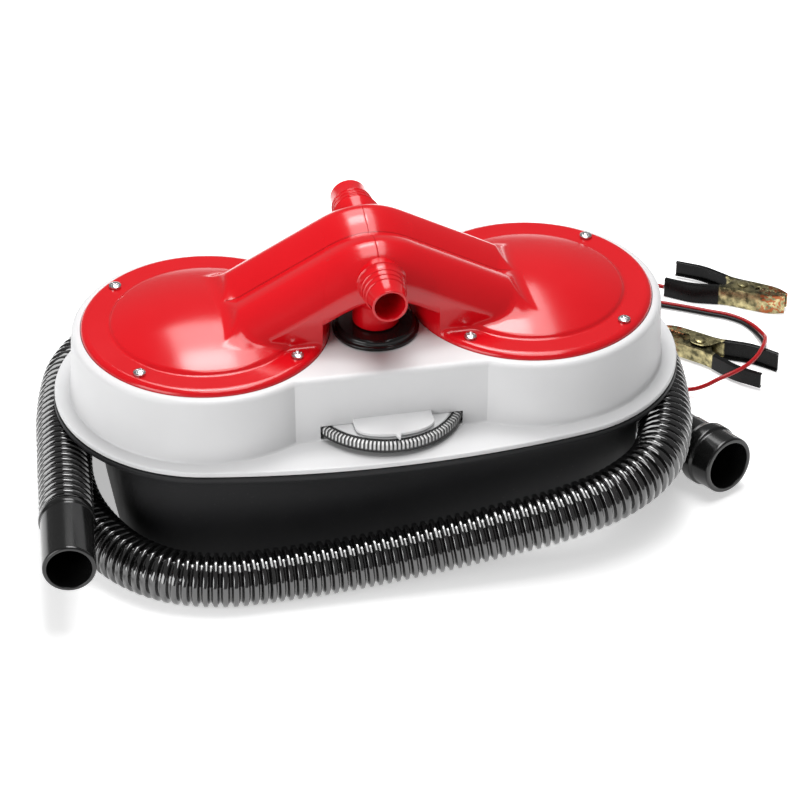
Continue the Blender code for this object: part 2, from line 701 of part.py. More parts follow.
def arm_solid(side):
    lid_level = LID_BOTTOM + (LID_TOP - LID_BOTTOM) / 2
    rings = []
    bridge_end = LID_INNER_EDGE + 0.8 * MM
    for share in (0.0, 0.25, 0.5, 0.75, 1.0):
        x = FIT / 2 + share * (bridge_end - FIT / 2)
        rings.append(arm_ring(side, x, 1.0, arm_axis_z(x) - ARM_BELLY))
    for share in (0.02, 0.35, 0.7, 1.0):
        x = bridge_end + share * (ARM_FULL_END - bridge_end)
        rings.append(arm_ring(side, x, 1.0, lid_level))
    for share in (0.45, 0.8, 0.98):
        x = ARM_FULL_END + share * NOSE_LENGTH
        rings.append(arm_ring(side, x, math.sqrt(1 - share**2), lid_level))
    return loft(rings)


def duct_solid(side, front):
    """The hollow of one duct, from past the seam to over the chamber."""
    height = RIDGE_HEIGHT - ARM_WALL
    width = RIDGE_SPREAD - ARM_WALL
    inner = DIVIDER_HALF + 0.5 * MM
    floor = ARM_BELLY - ARM_WALL
    section = [(RIDGE_SPREAD + width, -floor)]
    for angle in (90, 60, 30, 0):
        a = math.radians(angle)
        section.append((RIDGE_SPREAD + width * math.sin(a), height * math.cos(a)))
    section += [(RIDGE_SPREAD * 0.5, height - VALLEY_DEPTH * 0.25), (inner, height - VALLEY_DEPTH)]
    section.append((inner, -floor))
    rings = []
    far = ARM_FULL_END - ARM_WALL - 4.0 * MM
    for share in (-0.04, 0.12, 0.25, 0.4, 0.7, 1.0):
        x = share * far
        z = arm_axis_z(x)
        rings.append([Vector((side * x, front * y, z + up)) for y, up in section])
    return loft(rings)


def build_cover(name, side):
    """One red moulding: a chamber lid and its half of the manifold."""
    centre = place(side * HALF_SPACING, 0.0)
    dome = [(DOME_RADIUS * share, dome_z(DOME_RADIUS * share)) for share in (0.0, 0.33, 0.67, 1.0)]
    profile = dome + [
        (DOME_RADIUS + 0.6 * MM, LID_TOP),
        (LID_RADIUS - LID_BEVEL, LID_TOP),
        (LID_RADIUS - LID_BEVEL * 0.25, LID_TOP - LID_EDGE_LIFT * 0.45),
        (LID_RADIUS, RIM_TOP),
        (LID_RADIUS, LID_BOTTOM),
        (0.0, LID_BOTTOM),
    ]
    mesh = join(revolve(profile, ROUND, centre), arm_solid(side))
    room = DOME_RADIUS - 2.0 * MM
    inner_top = DOME_TOP - DOME_WALL
    cavity = [(room * share, dome_z(room * share, inner_top)) for share in (0.0, 0.35, 0.7, 1.0)]
    cavity += [(room, LID_BOTTOM - 1.0 * MM), (0.0, LID_BOTTOM - 1.0 * MM)]
    hollow = revolve(cavity, MEDIUM_ROUND, centre)
    span = (side * HALF_SPACING - LID_RADIUS, side * HALF_SPACING + LID_RADIUS)
    hollow = cut(hollow, block(span, (-DIVIDER_HALF, DIVIDER_HALF), (LID_BOTTOM - 2.0 * MM, DOME_TOP)))
    mesh = cut(mesh, hollow, duct_solid(side, -1), duct_solid(side, 1))
    ports = []
    for front in (-1, 1):
        frame = along((0.0, front * (ARM_HALF_WIDTH - SPIGOT_TUCK), SPIGOT_Z), (0, front, 0))
        ports.append(revolve(rod_profile(SPIGOT_ROOT_RADIUS + FIT, 0.0, 3 * SPIGOT_TUCK), MEDIUM_ROUND, frame))
    tap_low = ARM_APEX - ARM_BELLY - 2.0 * MM
    tap_high = tap_low + ARM_WALL + 4.0 * MM
    ports.append(bore_tool(SENSE_NIPPLE_RADIUS + FIT, tap_low, tap_high, SMALL_ROUND, place(0.0, CAPSULE_Y)))
    for x, y in lid_screw_spots(side):
        hole = rod_profile(SCREW_RADIUS + FIT, LID_BOTTOM - 1.0 * MM, LID_TOP + 1.0 * MM)
        ports.append(revolve(hole, SMALL_ROUND, place(x, y)))
    mesh = cut(mesh, gather(ports))
    return smooth(add_object(name, mesh, "red"), 28.0)


def build_spigot(name, front, mouth_radius):
    """A stepped hose spigot, seated in the half-round holes of both covers."""
    start = ARM_HALF_WIDTH - SPIGOT_TUCK
    root = SPIGOT_ROOT_RADIUS
    profile = [(SPIGOT_BORE, 0.0), (root, 0.0)]
    reach = SPIGOT_TUCK
    step = (root - mouth_radius) / SPIGOT_STEPS
    for i in range(SPIGOT_STEPS):
        profile.append((root - i * step, reach + i * SPIGOT_STEP_LENGTH))
        profile.append((root - (i + 1) * step, reach + i * SPIGOT_STEP_LENGTH + 0.6 * MM))
    end = reach + SPIGOT_STEPS * SPIGOT_STEP_LENGTH
    profile += [(mouth_radius, end - 0.6 * MM), (mouth_radius - 0.6 * MM, end), (SPIGOT_BORE, end)]
    frame = along((0.0, front * start, SPIGOT_Z), (0, front, 0))
    return smooth(add_object(name, revolve(profile, MEDIUM_ROUND, frame), "red"))


def build_sense_tube():
    """The red boss that carries the delivery pressure down to the relief capsule."""
    belly = ARM_APEX - ARM_BELLY - FIT
    low = CAPSULE_TOP + FIT
    profile = [
        (SENSE_BORE, low),
        (SENSE_TUBE_RADIUS - 1.0 * MM, low),
        (SENSE_TUBE_RADIUS, low + 1.0 * MM),
        (SENSE_TUBE_RADIUS, belly - ARM_SLOPE * SENSE_TUBE_RADIUS**2 / (2 * ARM_APEX_BLEND)),
        (SENSE_NIPPLE_RADIUS, belly - ARM_SLOPE * SENSE_TUBE_RADIUS**2 / (2 * ARM_APEX_BLEND)),
        (SENSE_NIPPLE_RADIUS, belly + ARM_WALL + 2.0 * MM),
        (SENSE_BORE, belly + ARM_WALL + 2.0 * MM),
    ]
    return smooth(add_object("sense_tube", revolve(profile, MEDIUM_ROUND, place(0.0, CAPSULE_Y)), "red"))


def build_capsule():
    """The black relief capsule: a round cap on the deck and a spring barrel through it."""
    deck = RIM_TOP + FIT
    roof = CAPSULE_TOP - CAPSULE_ROOF
    profile = [
        (SENSE_BORE, CAPSULE_TOP),
        (SENSE_BORE, roof),
        (CAPSULE_BORE, roof),
        (CAPSULE_BORE, CAPSULE_BOTTOM),
        (CAPSULE_BODY_RADIUS, CAPSULE_BOTTOM),
        (CAPSULE_BODY_RADIUS, deck),
        (CAPSULE_RADIUS, deck),
        (CAPSULE_RADIUS, deck + CAPSULE_CAP_HEIGHT * 0.35),
        (CAPSULE_RADIUS - 1.6 * MM, deck + CAPSULE_CAP_HEIGHT * 0.42),
        (CAPSULE_RADIUS - 1.9 * MM, deck + CAPSULE_CAP_HEIGHT * 0.8),
        (CAPSULE_RADIUS - 3.2 * MM, CAPSULE_TOP),
    ]
    mesh = revolve(profile, MEDIUM_ROUND, place(0.0, CAPSULE_Y))
    return smooth(add_object("relief_capsule", mesh, "black"))


def build_plunger():
    pivot = add_empty("relief_plunger_slide", (0.0, CAPSULE_Y, PLUNGER_TIP))
    collar = PLUNGER_COLLAR_Z - PLUNGER_TIP
    profile = [
        (0.0, 0.0),
        (PLUNGER_RADIUS - 1.0 * MM, 0.0),
        (PLUNGER_RADIUS, 1.0 * MM),
        (PLUNGER_RADIUS, collar),
        (PLUNGER_COLLAR_RADIUS, collar),
        (PLUNGER_COLLAR_RADIUS, collar + PLUNGER_COLLAR_HEIGHT),
        (PLUNGER_RADIUS, collar + PLUNGER_COLLAR_HEIGHT),
        (PLUNGER_RADIUS, collar + PLUNGER_COLLAR_HEIGHT + 5.0 * MM),
        (0.0, collar + PLUNGER_COLLAR_HEIGHT + 5.0 * MM),
    ]
    return smooth(add_object("relief_plunger", revolve(profile, SMALL_ROUND, None), "steel", pivot))


def cam_height(angle):
    """Height of the dial's spiral cam track under a given turn of the dial, with a steep return."""
    slope = CAM_RISE / CAM_TURN
    lead = math.radians(25.0)
    turn = (angle + lead) % (2 * math.pi) - lead
    return CAM_LOW + slope * min(turn, CAM_TURN + lead)


def build_dial():
    pivot = add_empty("pressure_dial_axis", (0.0, DIAL_Y, DIAL_BOTTOM))
    steps = 36
    bore = SPINDLE_RADIUS + RUNNING_FIT
    edge = DIAL_RADIUS - GRIP_WIDTH - FIT
    near = CAM_RADIUS - CAM_WIDTH / 2
    far = CAM_RADIUS + CAM_WIDTH / 2
    rings = []
    for i in range(steps):
        local = 2 * math.pi * i / steps
        track = cam_height(math.pi / 2 - local)
        section = [
            (bore, 0.0),
            (edge, 0.0),
            (edge, DIAL_THICKNESS - 0.8 * MM),
            (edge - 0.8 * MM, DIAL_THICKNESS),
            (far + 0.5 * MM, DIAL_THICKNESS),
            (far, track),
            (near, track),
            (near - 0.5 * MM, DIAL_THICKNESS),
            (bore, DIAL_THICKNESS),
        ]
        rings.append([Vector((r * math.cos(local), r * math.sin(local), z)) for r, z in section])
    smooth(add_object("pressure_dial", loft(rings, closed=True), "white", pivot))
    grip_points = 2 * GRIP_TEETH
    turns = [2 * math.pi * i / grip_points for i in range(grip_points)]
    radii = [DIAL_RADIUS - (GRIP_TOOTH if i % 2 else 0.0) for i in range(grip_points)]
    inner = DIAL_RADIUS - GRIP_WIDTH
    outline = [(r * math.cos(a), r * math.sin(a)) for r, a in zip(radii, turns)]
    bore_line = [(inner * math.cos(a), inner * math.sin(a)) for a in turns]
    levels = [(outline, 0.0), (outline, DIAL_THICKNESS), (bore_line, DIAL_THICKNESS), (bore_line, 0.0)]
    rings = [[Vector((x, y, z)) for x, y in line] for line, z in levels]
    smooth(add_object("dial_grip_ring", loft(rings, closed=True), "black", pivot))


def build_spindle():
    post_top = DIAL_BOTTOM - FIT
    low = post_top - SPINDLE_DEPTH + FIT
    head = DIAL_TOP + RUNNING_FIT
    profile = [
        (0.0, low),
        (SPINDLE_RADIUS, low),
        (SPINDLE_RADIUS, head),
        (SPINDLE_HEAD_RADIUS, head),
        (SPINDLE_HEAD_RADIUS, head + SPINDLE_HEAD_HEIGHT),
        (0.0, head + SPINDLE_HEAD_HEIGHT),
    ]
    smooth(add_object("dial_spindle", revolve(profile, SMALL_ROUND, place(0.0, DIAL_Y)), "steel"))


def screw_mesh(x, y, head_bottom, length, up=1.0):
    """A pan-head screw. up is 1 where the head is on top and -1 where it points down."""
    profile = [
        (0.0, SCREW_HEAD_HEIGHT),
        (SCREW_HEAD_RADIUS * 0.55, SCREW_HEAD_HEIGHT * 0.9),
        (SCREW_HEAD_RADIUS * 0.9, SCREW_HEAD_HEIGHT * 0.55),
        (SCREW_HEAD_RADIUS, 0.0),
        (SCREW_RADIUS, 0.0),
        (SCREW_RADIUS, -length + 1.5 * MM),
        (0.0, -length),
    ]
    turned = [(radius, head_bottom + up * height) for radius, height in profile]
    return revolve(turned, SMALL_ROUND, place(x, y))


def build_screws():
    number = 1
    length = LID_TOP - LID_SEAT + LID_SCREW_BITE
    for side in (-1, 1):
        for x, y in lid_screw_spots(side):
            smooth(add_object(f"lid_screw_{number}", screw_mesh(x, y, LID_TOP + FIT, length), "steel"))
            number += 1
    seat = BASE_BOTTOM + COUNTERBORE_DEPTH - FIT
    reach = FLANGE_TOP + BASE_SCREW_BITE - seat
    for number, (x, y) in enumerate(base_screw_spots(), 1):
        smooth(add_object(f"base_screw_{number}", screw_mesh(x, y, seat, reach, -1.0), "steel"))


def build_valves(label, side):
    centre_x = side * HALF_SPACING
    plate = revolve(rod_profile(SEAT_RADIUS, VALVE_BOTTOM, VALVE_TOP), ROUND - 8, place(centre_x, 0.0))
    holes = []
    low = VALVE_BOTTOM - 1.0 * MM
    high = VALVE_TOP + 1.0 * MM
    for front in (-1, 1):
        y = front * VALVE_Y
        holes.append(revolve(rod_profile(FLAP_STEM_RADIUS + FIT, low, high), 8, place(centre_x, y)))
        for i in range(PORT_COUNT):
            a = 2 * math.pi * i / PORT_COUNT
            spot = place(centre_x + PORT_RING * math.cos(a), y + PORT_RING * math.sin(a))
            holes.append(revolve(rod_profile(PORT_RADIUS, low, high), 8, spot))
    smooth(add_object(f"{label}_valve_plate", cut(plate, gather(holes)), "nylon"))
    for kind, front, up in (("delivery", -1, 1.0), ("intake", 1, -1.0)):
        face = VALVE_TOP + FIT if up > 0 else VALVE_BOTTOM - FIT
        back = -(VALVE_PLATE_THICKNESS + 2 * FIT)
        profile = [
            (0.0, FLAP_THICKNESS + 0.4 * MM),
            (FLAP_RADIUS * 0.3, FLAP_THICKNESS + 0.4 * MM),
            (FLAP_RADIUS, FLAP_THICKNESS * 0.7),
            (FLAP_RADIUS, 0.0),
            (FLAP_STEM_RADIUS, 0.0),
            (FLAP_STEM_RADIUS, back),
            (FLAP_BULB_RADIUS, back),
            (FLAP_STEM_RADIUS * 0.7, back - FLAP_BULB_HEIGHT),
            (0.0, back - FLAP_BULB_HEIGHT),
        ]
        turned = [(radius, face + up * height) for radius, height in profile]
        mesh = revolve(turned, 10, place(centre_x, front * VALVE_Y))
        smooth(add_object(f"{label}_{kind}_flap", mesh, "rubber"))


def build_chamber(label, side, lift, crank):
    """Diaphragm, piston plate, connecting rod and eccentric of one chamber, at its own stroke."""
    x = side * HALF_SPACING
    low = DIAPHRAGM_Z + lift
    high = low + DIAPHRAGM_WALL
    hole = PISTON_STEM_RADIUS + FIT
    flat = PISTON_RADIUS + 3.0 * MM
    roll = CHAMBER_BORE - 3.0 * MM
    middle = (low + BEAD_BOTTOM) / 2
    profile = [
        (hole, low),
        (flat, low),
        ((flat + roll) / 2 + 1.0 * MM, middle - 2.0 * MM),
        (roll, BEAD_BOTTOM - 2.5 * MM),
        (CHAMBER_BORE - 1.0 * MM, BEAD_BOTTOM),
        (SEAT_RADIUS, BEAD_BOTTOM),
        (SEAT_RADIUS, BEAD_TOP),
        (CHAMBER_BORE - 2.0 * MM, BEAD_TOP),
        (roll - 1.4 * MM, BEAD_BOTTOM - 1.0 * MM),
        ((flat + roll) / 2 - 0.6 * MM, middle - 0.6 * MM),
        (flat - 0.4 * MM, high),
        (hole, high),
    ]
    mesh = revolve(profile, 22, place(x, 0.0))
    smooth(add_object(f"{label}_diaphragm", mesh, "rubber"))

    rod_axis = add_empty(f"{label}_rod_axis", (x, 0.0, MOTOR_Z + lift))
    top = low - FIT - (MOTOR_Z + lift)
    ring = ECCENTRIC_RADIUS + RUNNING_FIT
    outer = ring + ROD_END_WALL
    half = ROD_WIDTH / 2
    across = along((-half, 0.0, 0.0), (1, 0, 0))
    rod = revolve(rod_profile(outer, 0.0, ROD_WIDTH), 16, across)
    plate_low = top - ROD_PLATE_THICKNESS
    shank = block((-half * 0.9, half * 0.9), (-ROD_SHANK / 2, ROD_SHANK / 2), (0.0, plate_low + 1.0 * MM))
    rod = join(rod, shank, revolve(rod_profile(ROD_PLATE_RADIUS, plate_low, top), MEDIUM_ROUND))
    hub = along((-half - 1.0 * MM, 0.0, 0.0), (1, 0, 0))
    bore = revolve(rod_profile(ring, 0.0, ROD_WIDTH + 2.0 * MM), 16, hub)
    stem_low = top - PISTON_STEM_LENGTH - FIT
    socket = bore_tool(hole, stem_low, top + 1.0 * MM, SMALL_ROUND)
    smooth(add_object(f"{label}_rod", cut(rod, bore, socket), "alloy", rod_axis))

    face = top + FIT + DIAPHRAGM_WALL + FIT
    plate = [
        (0.0, stem_low + 2 * FIT),
        (PISTON_STEM_RADIUS, stem_low + 2 * FIT),
        (PISTON_STEM_RADIUS, face),
        (PISTON_RADIUS, face),
        (PISTON_RADIUS - 0.5 * MM, face + PISTON_THICKNESS),
        (PISTON_HEAD_RADIUS, face + PISTON_THICKNESS),
        (PISTON_HEAD_RADIUS - 1.5 * MM, face + PISTON_THICKNESS + PISTON_HEAD_HEIGHT),
        (0.0, face + PISTON_THICKNESS + PISTON_HEAD_HEIGHT),
    ]
    smooth(add_object(f"{label}_piston_plate", revolve(plate, MEDIUM_ROUND), "nylon", rod_axis))

    start = side * HALF_SPACING - ECCENTRIC_WIDTH / 2
    disc_frame = along((start, 0.0, lift), (1, 0, 0))
    disc = revolve(rod_profile(ECCENTRIC_RADIUS, 0.0, ECCENTRIC_WIDTH), 16, disc_frame)
    shaft_frame = along((start - 1.0 * MM, 0.0, 0.0), (1, 0, 0))
    shaft_hole = bore_tool(SHAFT_RADIUS + FIT, 0.0, ECCENTRIC_WIDTH + 2.0 * MM, SMALL_ROUND, shaft_frame)
    smooth(add_object(f"{label}_eccentric", cut(disc, shaft_hole), "steel", crank))


def build_motor(crank):
    half = MOTOR_LENGTH / 2
    bore = SHAFT_RADIUS + RUNNING_FIT
    inside = MOTOR_RADIUS - MOTOR_WALL
    frame = along((-half, 0.0, MOTOR_Z), (1, 0, 0))
    can = [
        (bore, -MOTOR_BOSS_LENGTH),
        (MOTOR_BOSS_RADIUS, -MOTOR_BOSS_LENGTH),
        (MOTOR_BOSS_RADIUS, 0.0),
        (MOTOR_RADIUS - 2.0 * MM, 0.0),
        (MOTOR_RADIUS, 2.0 * MM),
        (MOTOR_RADIUS, MOTOR_LENGTH),
        (inside, MOTOR_LENGTH),
        (inside, MOTOR_WALL + 1.0 * MM),
        (bore, MOTOR_WALL + 1.0 * MM),
    ]
    smooth(add_object("motor_can", revolve(can, MEDIUM_ROUND, frame), "can"))
    cap_frame = along((half, 0.0, MOTOR_Z), (1, 0, 0))
    cap = [
        (bore, -4.0 * MM),
        (inside - FIT, -4.0 * MM),
        (inside - FIT, FIT),
        (MOTOR_RADIUS, FIT),
        (MOTOR_RADIUS - 1.5 * MM, 4.0 * MM),
        (MOTOR_BOSS_RADIUS, 4.0 * MM),
        (MOTOR_BOSS_RADIUS, MOTOR_BOSS_LENGTH),
        (bore, MOTOR_BOSS_LENGTH),
    ]
    smooth(add_object("motor_end_cap", revolve(cap, MEDIUM_ROUND, cap_frame), "black"))
    end = HALF_SPACING + ECCENTRIC_WIDTH / 2 + 3.0 * MM
    core = ARMATURE_LENGTH / 2
    commutator = ARMATURE_RADIUS * 0.5
    shaft = [
        (0.0, -end),
        (SHAFT_RADIUS, -end),
        (SHAFT_RADIUS, -core),
        (ARMATURE_RADIUS, -core),
        (ARMATURE_RADIUS, core),
        (commutator, core),
        (commutator, core + 6.0 * MM),
        (SHAFT_RADIUS, core + 6.0 * MM),
        (SHAFT_RADIUS, end),
        (0.0, end),
    ]
    smooth(add_object("armature", revolve(shaft, 14, along((0, 0, 0), (1, 0, 0))), "steel", crank))
    ring = MOTOR_RADIUS + FIT
    wide = ring + MOTOR_CLAMP_WALL
    low = BASE_INSIDE + FIT
    width = MOTOR_CLAMP_WIDTH / 2
    foot = wide + MOTOR_CLAMP_FOOT
    clamp_frame = along((-width, 0.0, MOTOR_Z), (1, 0, 0))
    clamp = revolve(rod_profile(wide, 0.0, MOTOR_CLAMP_WIDTH), MEDIUM_ROUND, clamp_frame)
    base = block((-width, width), (-foot, foot), (low, low + 4.0 * MM))
    neck = block((-width, width), (-wide * 0.8, wide * 0.8), (low, MOTOR_Z - ring * 0.5))
    hole_frame = along((-width - 1.0 * MM, 0.0, MOTOR_Z), (1, 0, 0))
    hole = revolve(rod_profile(ring, 0.0, MOTOR_CLAMP_WIDTH + 2.0 * MM), MEDIUM_ROUND, hole_frame)
    smooth(add_object("motor_clamp", cut(join(clamp, base, neck), hole), "alloy"))


def smooth_route(points, step):
    """Points at even steps along a smooth curve through the route's own points."""
    route = np.array(points, dtype=float)
    chords = np.linalg.norm(np.diff(route, axis=0), axis=1)
    knots = np.concatenate([[0.0], np.cumsum(chords)])
    slopes = np.gradient(route, knots, axis=0)
    fine = np.linspace(0.0, knots[-1], 60 * len(points))
    span = np.clip(np.searchsorted(knots, fine, side="right") - 1, 0, len(chords) - 1)
    width = chords[span]
    t = ((fine - knots[span]) / width)[:, None]
    width = width[:, None]
    curve = (2 * t**3 - 3 * t**2 + 1) * route[span]
    curve += (t**3 - 2 * t**2 + t) * width * slopes[span]
    curve += (3 * t**2 - 2 * t**3) * route[span + 1]
    curve += (t**3 - t**2) * width * slopes[span + 1]
    lengths = np.concatenate([[0.0], np.cumsum(np.linalg.norm(np.diff(curve, axis=0), axis=1))])
    count = max(2, int(round(lengths[-1] / step)) + 1)
    even = np.linspace(0.0, lengths[-1], count)
    return np.stack([np.interp(even, lengths, curve[:, axis]) for axis in range(3)], axis=1)


def route_length(points):
    return float(np.linalg.norm(np.diff(points, axis=0), axis=1).sum())


def tube_curve(name, points, radius, resolution, ratios=None):
    """A closed tube: a poly curve with a round bevel and filled ends."""
    curve = bpy.data.curves.new(name, "CURVE")
    curve.dimensions = "3D"
    curve.bevel_depth = radius
    curve.bevel_resolution = resolution
    curve.use_fill_caps = True
    curve.twist_mode = "Z_UP"
    spline = curve.splines.new("POLY")
    spline.points.add(len(points) - 1)
    for index, point in enumerate(points):
        spline.points[index].co = (*point, 1.0)
        spline.points[index].radius = 1.0 if ratios is None else ratios[index]
    return curve


def curve_mesh(curve):
    obj = add_object("route", curve)
    depsgraph = bpy.context.evaluated_depsgraph_get()
    mesh = bpy.data.meshes.new_from_object(obj.evaluated_get(depsgraph))
    bpy.data.objects.remove(obj, do_unlink=True)
    bm = bmesh.new()
    bm.from_mesh(mesh)
    bmesh.ops.remove_doubles(bm, verts=bm.verts, dist=1e-6)
    bpy.data.meshes.remove(mesh)
    return mesh_from(bm)


def self_gap(points, diameter):
    """Least clear distance of a tube to itself, away from its own neighbourhood."""
    points = np.array(points)
    along_it = np.concatenate([[0.0], np.cumsum(np.linalg.norm(np.diff(points, axis=0), axis=1))])
    apart = np.linalg.norm(points[:, None] - points[None, :], axis=2)
    far = np.abs(along_it[:, None] - along_it[None, :]) > 4 * diameter
    return float(apart[far].min() - diameter) if far.any() else float("inf")


def spring_points(radius, low, high, wire, turns, centre):
    """A helix with a flat closing turn at each end."""
    steps = 7 * turns
    points = []
    for i in range(steps + 1):
        a = 2 * math.pi * turns * i / steps
        z = low + wire / 2 + (high - low - wire) * i / steps
        points.append((centre[0] + radius * math.cos(a), centre[1] + radius * math.sin(a), z))
    return points


def build_relief_spring():
    low = PLUNGER_COLLAR_Z + PLUNGER_COLLAR_HEIGHT + FIT
    high = CAPSULE_TOP - CAPSULE_ROOF - FIT
    centre = (0.0, CAPSULE_Y)
    points = spring_points(RELIEF_SPRING_RADIUS, low, high, RELIEF_SPRING_WIRE, RELIEF_SPRING_TURNS, centre)
    print("relief_spring gap mm", round(self_gap(points, RELIEF_SPRING_WIRE) / MM, 2))
    mesh = curve_mesh(tube_curve("relief_spring", points, RELIEF_SPRING_WIRE / 2, 1))
    smooth(add_object("relief_spring", mesh, "steel"))


# Route of the hose in millimetres, from the front left cuff round the pump to the right cuff
HOSE_ROUTE = [
    (-174.6, -73.4, 45.0),
    (-173.3, -62.0, 45.0), (-172.0, -50.6, 45.0), (-170.6, -38.0, 45.0), (-167.5, -12.0, 45.0), (-164.0, 15.0, 45.0),
    (-160.0, 34.0, 45.0), (-152.8, 56.0, 45.0), (-135.8, 77.4, 45.0), (-110.5, 88.7, 45.0), (-83.0, 92.9, 45.0),
    (-40.0, 94.3, 45.0), (10.0, 94.3, 45.0), (55.0, 94.1, 45.0), (83.0, 92.9, 45.0), (110.4, 88.6, 45.0),
    (135.6, 77.2, 45.0), (152.5, 55.5, 45.0), (159.5, 30.0, 45.0), (161.0, 2.0, 45.0),
    (157.6, -28.0, 45.0), (151.0, -57.8, 44.5), (137.4, -83.2, 42.5), (115.0, -98.0, 38.5),
    (86.0, -104.5, 33.5), (50.0, -105.5, 27.5), (10.0, -104.5, 21.0), (-30.0, -104.0, 16.5),
    (-68.0, -104.0, 14.8), (-98.0, -103.0, 14.7), (-123.0, -94.5, 14.7), (-142.0, -77.5, 14.7),
    (-154.5, -55.0, 14.7), (-162.5, -28.0, 14.7), (-164.5, 2.0, 14.7), (-160.6, 31.0, 14.7),
    (-152.8, 56.0, 14.7), (-135.8, 77.4, 14.7), (-110.5, 88.7, 14.7), (-83.0, 92.9, 14.7), (-40.0, 94.3, 14.7),
    (10.0, 94.3, 14.7), (55.0, 94.1, 14.7), (83.0, 92.9, 14.7), (110.4, 88.6, 14.7), (135.6, 77.2, 14.7),
    (152.5, 55.5, 14.7), (159.5, 30.0, 14.7), (161.4, 9.0, 14.7), (162.9, -7.0, 14.8), (165.2, -17.5, 15.4),
    (168.0, -24.7, 16.2), (171.1, -31.0, 16.8),
]


def build_hose():
    fine = smooth_route(np.array(HOSE_ROUTE) * MM, 2.0 * MM)
    length = route_length(fine)
    points = smooth_route(np.array(HOSE_ROUTE) * MM, length / (2 * HOSE_RIBS))
    valley = (HOSE_RADIUS - HOSE_RIB_DEPTH) / HOSE_RADIUS
    ratios = [1.0 if i % 2 == 0 else valley for i in range(len(points))]
    outer = curve_mesh(tube_curve("hose", points, HOSE_RADIUS, 2, ratios))
    bore_points = smooth_route(np.array(HOSE_ROUTE) * MM, 32.0 * MM)
    ahead = bore_points[0] + (bore_points[0] - points[1]) / np.linalg.norm(bore_points[0] - points[1]) * MM
    behind = bore_points[-1] + (bore_points[-1] - points[-2]) / np.linalg.norm(bore_points[-1] - points[-2]) * MM
    bore_points = np.vstack([ahead, bore_points[1:-1], behind])
    bore = curve_mesh(tube_curve("hose_bore", bore_points, HOSE_BORE, 1))
    print("hose length m", round(length, 3), "gap mm", round(self_gap(fine, 2 * HOSE_RADIUS) / MM, 2))
    smooth(add_object("hose", cut(outer, bore), "hose"), 60.0)
    ends = (
        ("left", LEFT_CUFF_LENGTH, HOSE_ROUTE[0], HOSE_ROUTE[1]),
        ("right", RIGHT_CUFF_LENGTH, HOSE_ROUTE[-1], HOSE_ROUTE[-2]),
    )
    for label, cuff_length, end, before in ends:
        out = (Vector(end) - Vector(before)).normalized()
        shape = LEFT_CUFF if label == "left" else RIGHT_CUFF
        build_cuff(f"hose_cuff_{label}", Vector(end) * MM + out * cuff_length, Vector(end) * MM, *shape)


def build_cuff(name, mouth, hose_end, radius, bore, ridge):
    """A smooth end cuff, from its mouth back to the hose, with a ridge round it where it has one."""
    way = hose_end - mouth
    length = way.length - FIT
    sleeve = length - CUFF_COLLAR_LENGTH
    profile = [(bore, 0.0), (radius - 0.7 * MM, 0.0), (radius, 0.8 * MM)]
    if ridge > radius:
        profile += [(radius, RIDGE_BACK), (ridge, RIDGE_BACK + 1.2 * MM), (ridge, RIDGE_BACK + RIDGE_LENGTH)]
        profile.append((CUFF_COLLAR_RADIUS, RIDGE_BACK + RIDGE_LENGTH + 4.0 * MM))
    else:
        profile += [(radius, sleeve), (CUFF_COLLAR_RADIUS, sleeve + 1.0 * MM)]
    profile += [
        (CUFF_COLLAR_RADIUS, length - 1.0 * MM),
        (CUFF_COLLAR_RADIUS - 1.0 * MM, length),
        (HOSE_BORE, length),
        (HOSE_BORE, sleeve),
        (bore, sleeve),
    ]
    smooth(add_object(name, revolve(profile, 18, along(mouth, way)), "hose"))


def build_gland():
    """The strain relief in the rear wall of the case."""
    inside = BRIDGE_HALF_WIDTH - CASE_WALL - FIT - 3.0 * MM
    outside = BRIDGE_HALF_WIDTH + CASE_DRAFT + FIT
    profile = [
        (0.0, inside),
        (GLAND_FLANGE_RADIUS, inside),
        (GLAND_FLANGE_RADIUS, inside + 3.0 * MM),
        (GLAND_NECK_RADIUS, inside + 3.0 * MM),
        (GLAND_NECK_RADIUS, outside),
        (GLAND_FLANGE_RADIUS, outside),
        (GLAND_FLANGE_RADIUS, outside + 2.5 * MM),
        (GLAND_NECK_RADIUS, outside + 3.5 * MM),
        (WIRE_RADIUS * 3.0, GLAND_END),
        (0.0, GLAND_END),
    ]
    frame = along((GLAND_X, 0.0, GLAND_Z), (0, 1, 0))
    smooth(add_object("lead_gland", revolve(profile, 10, frame), "black"))


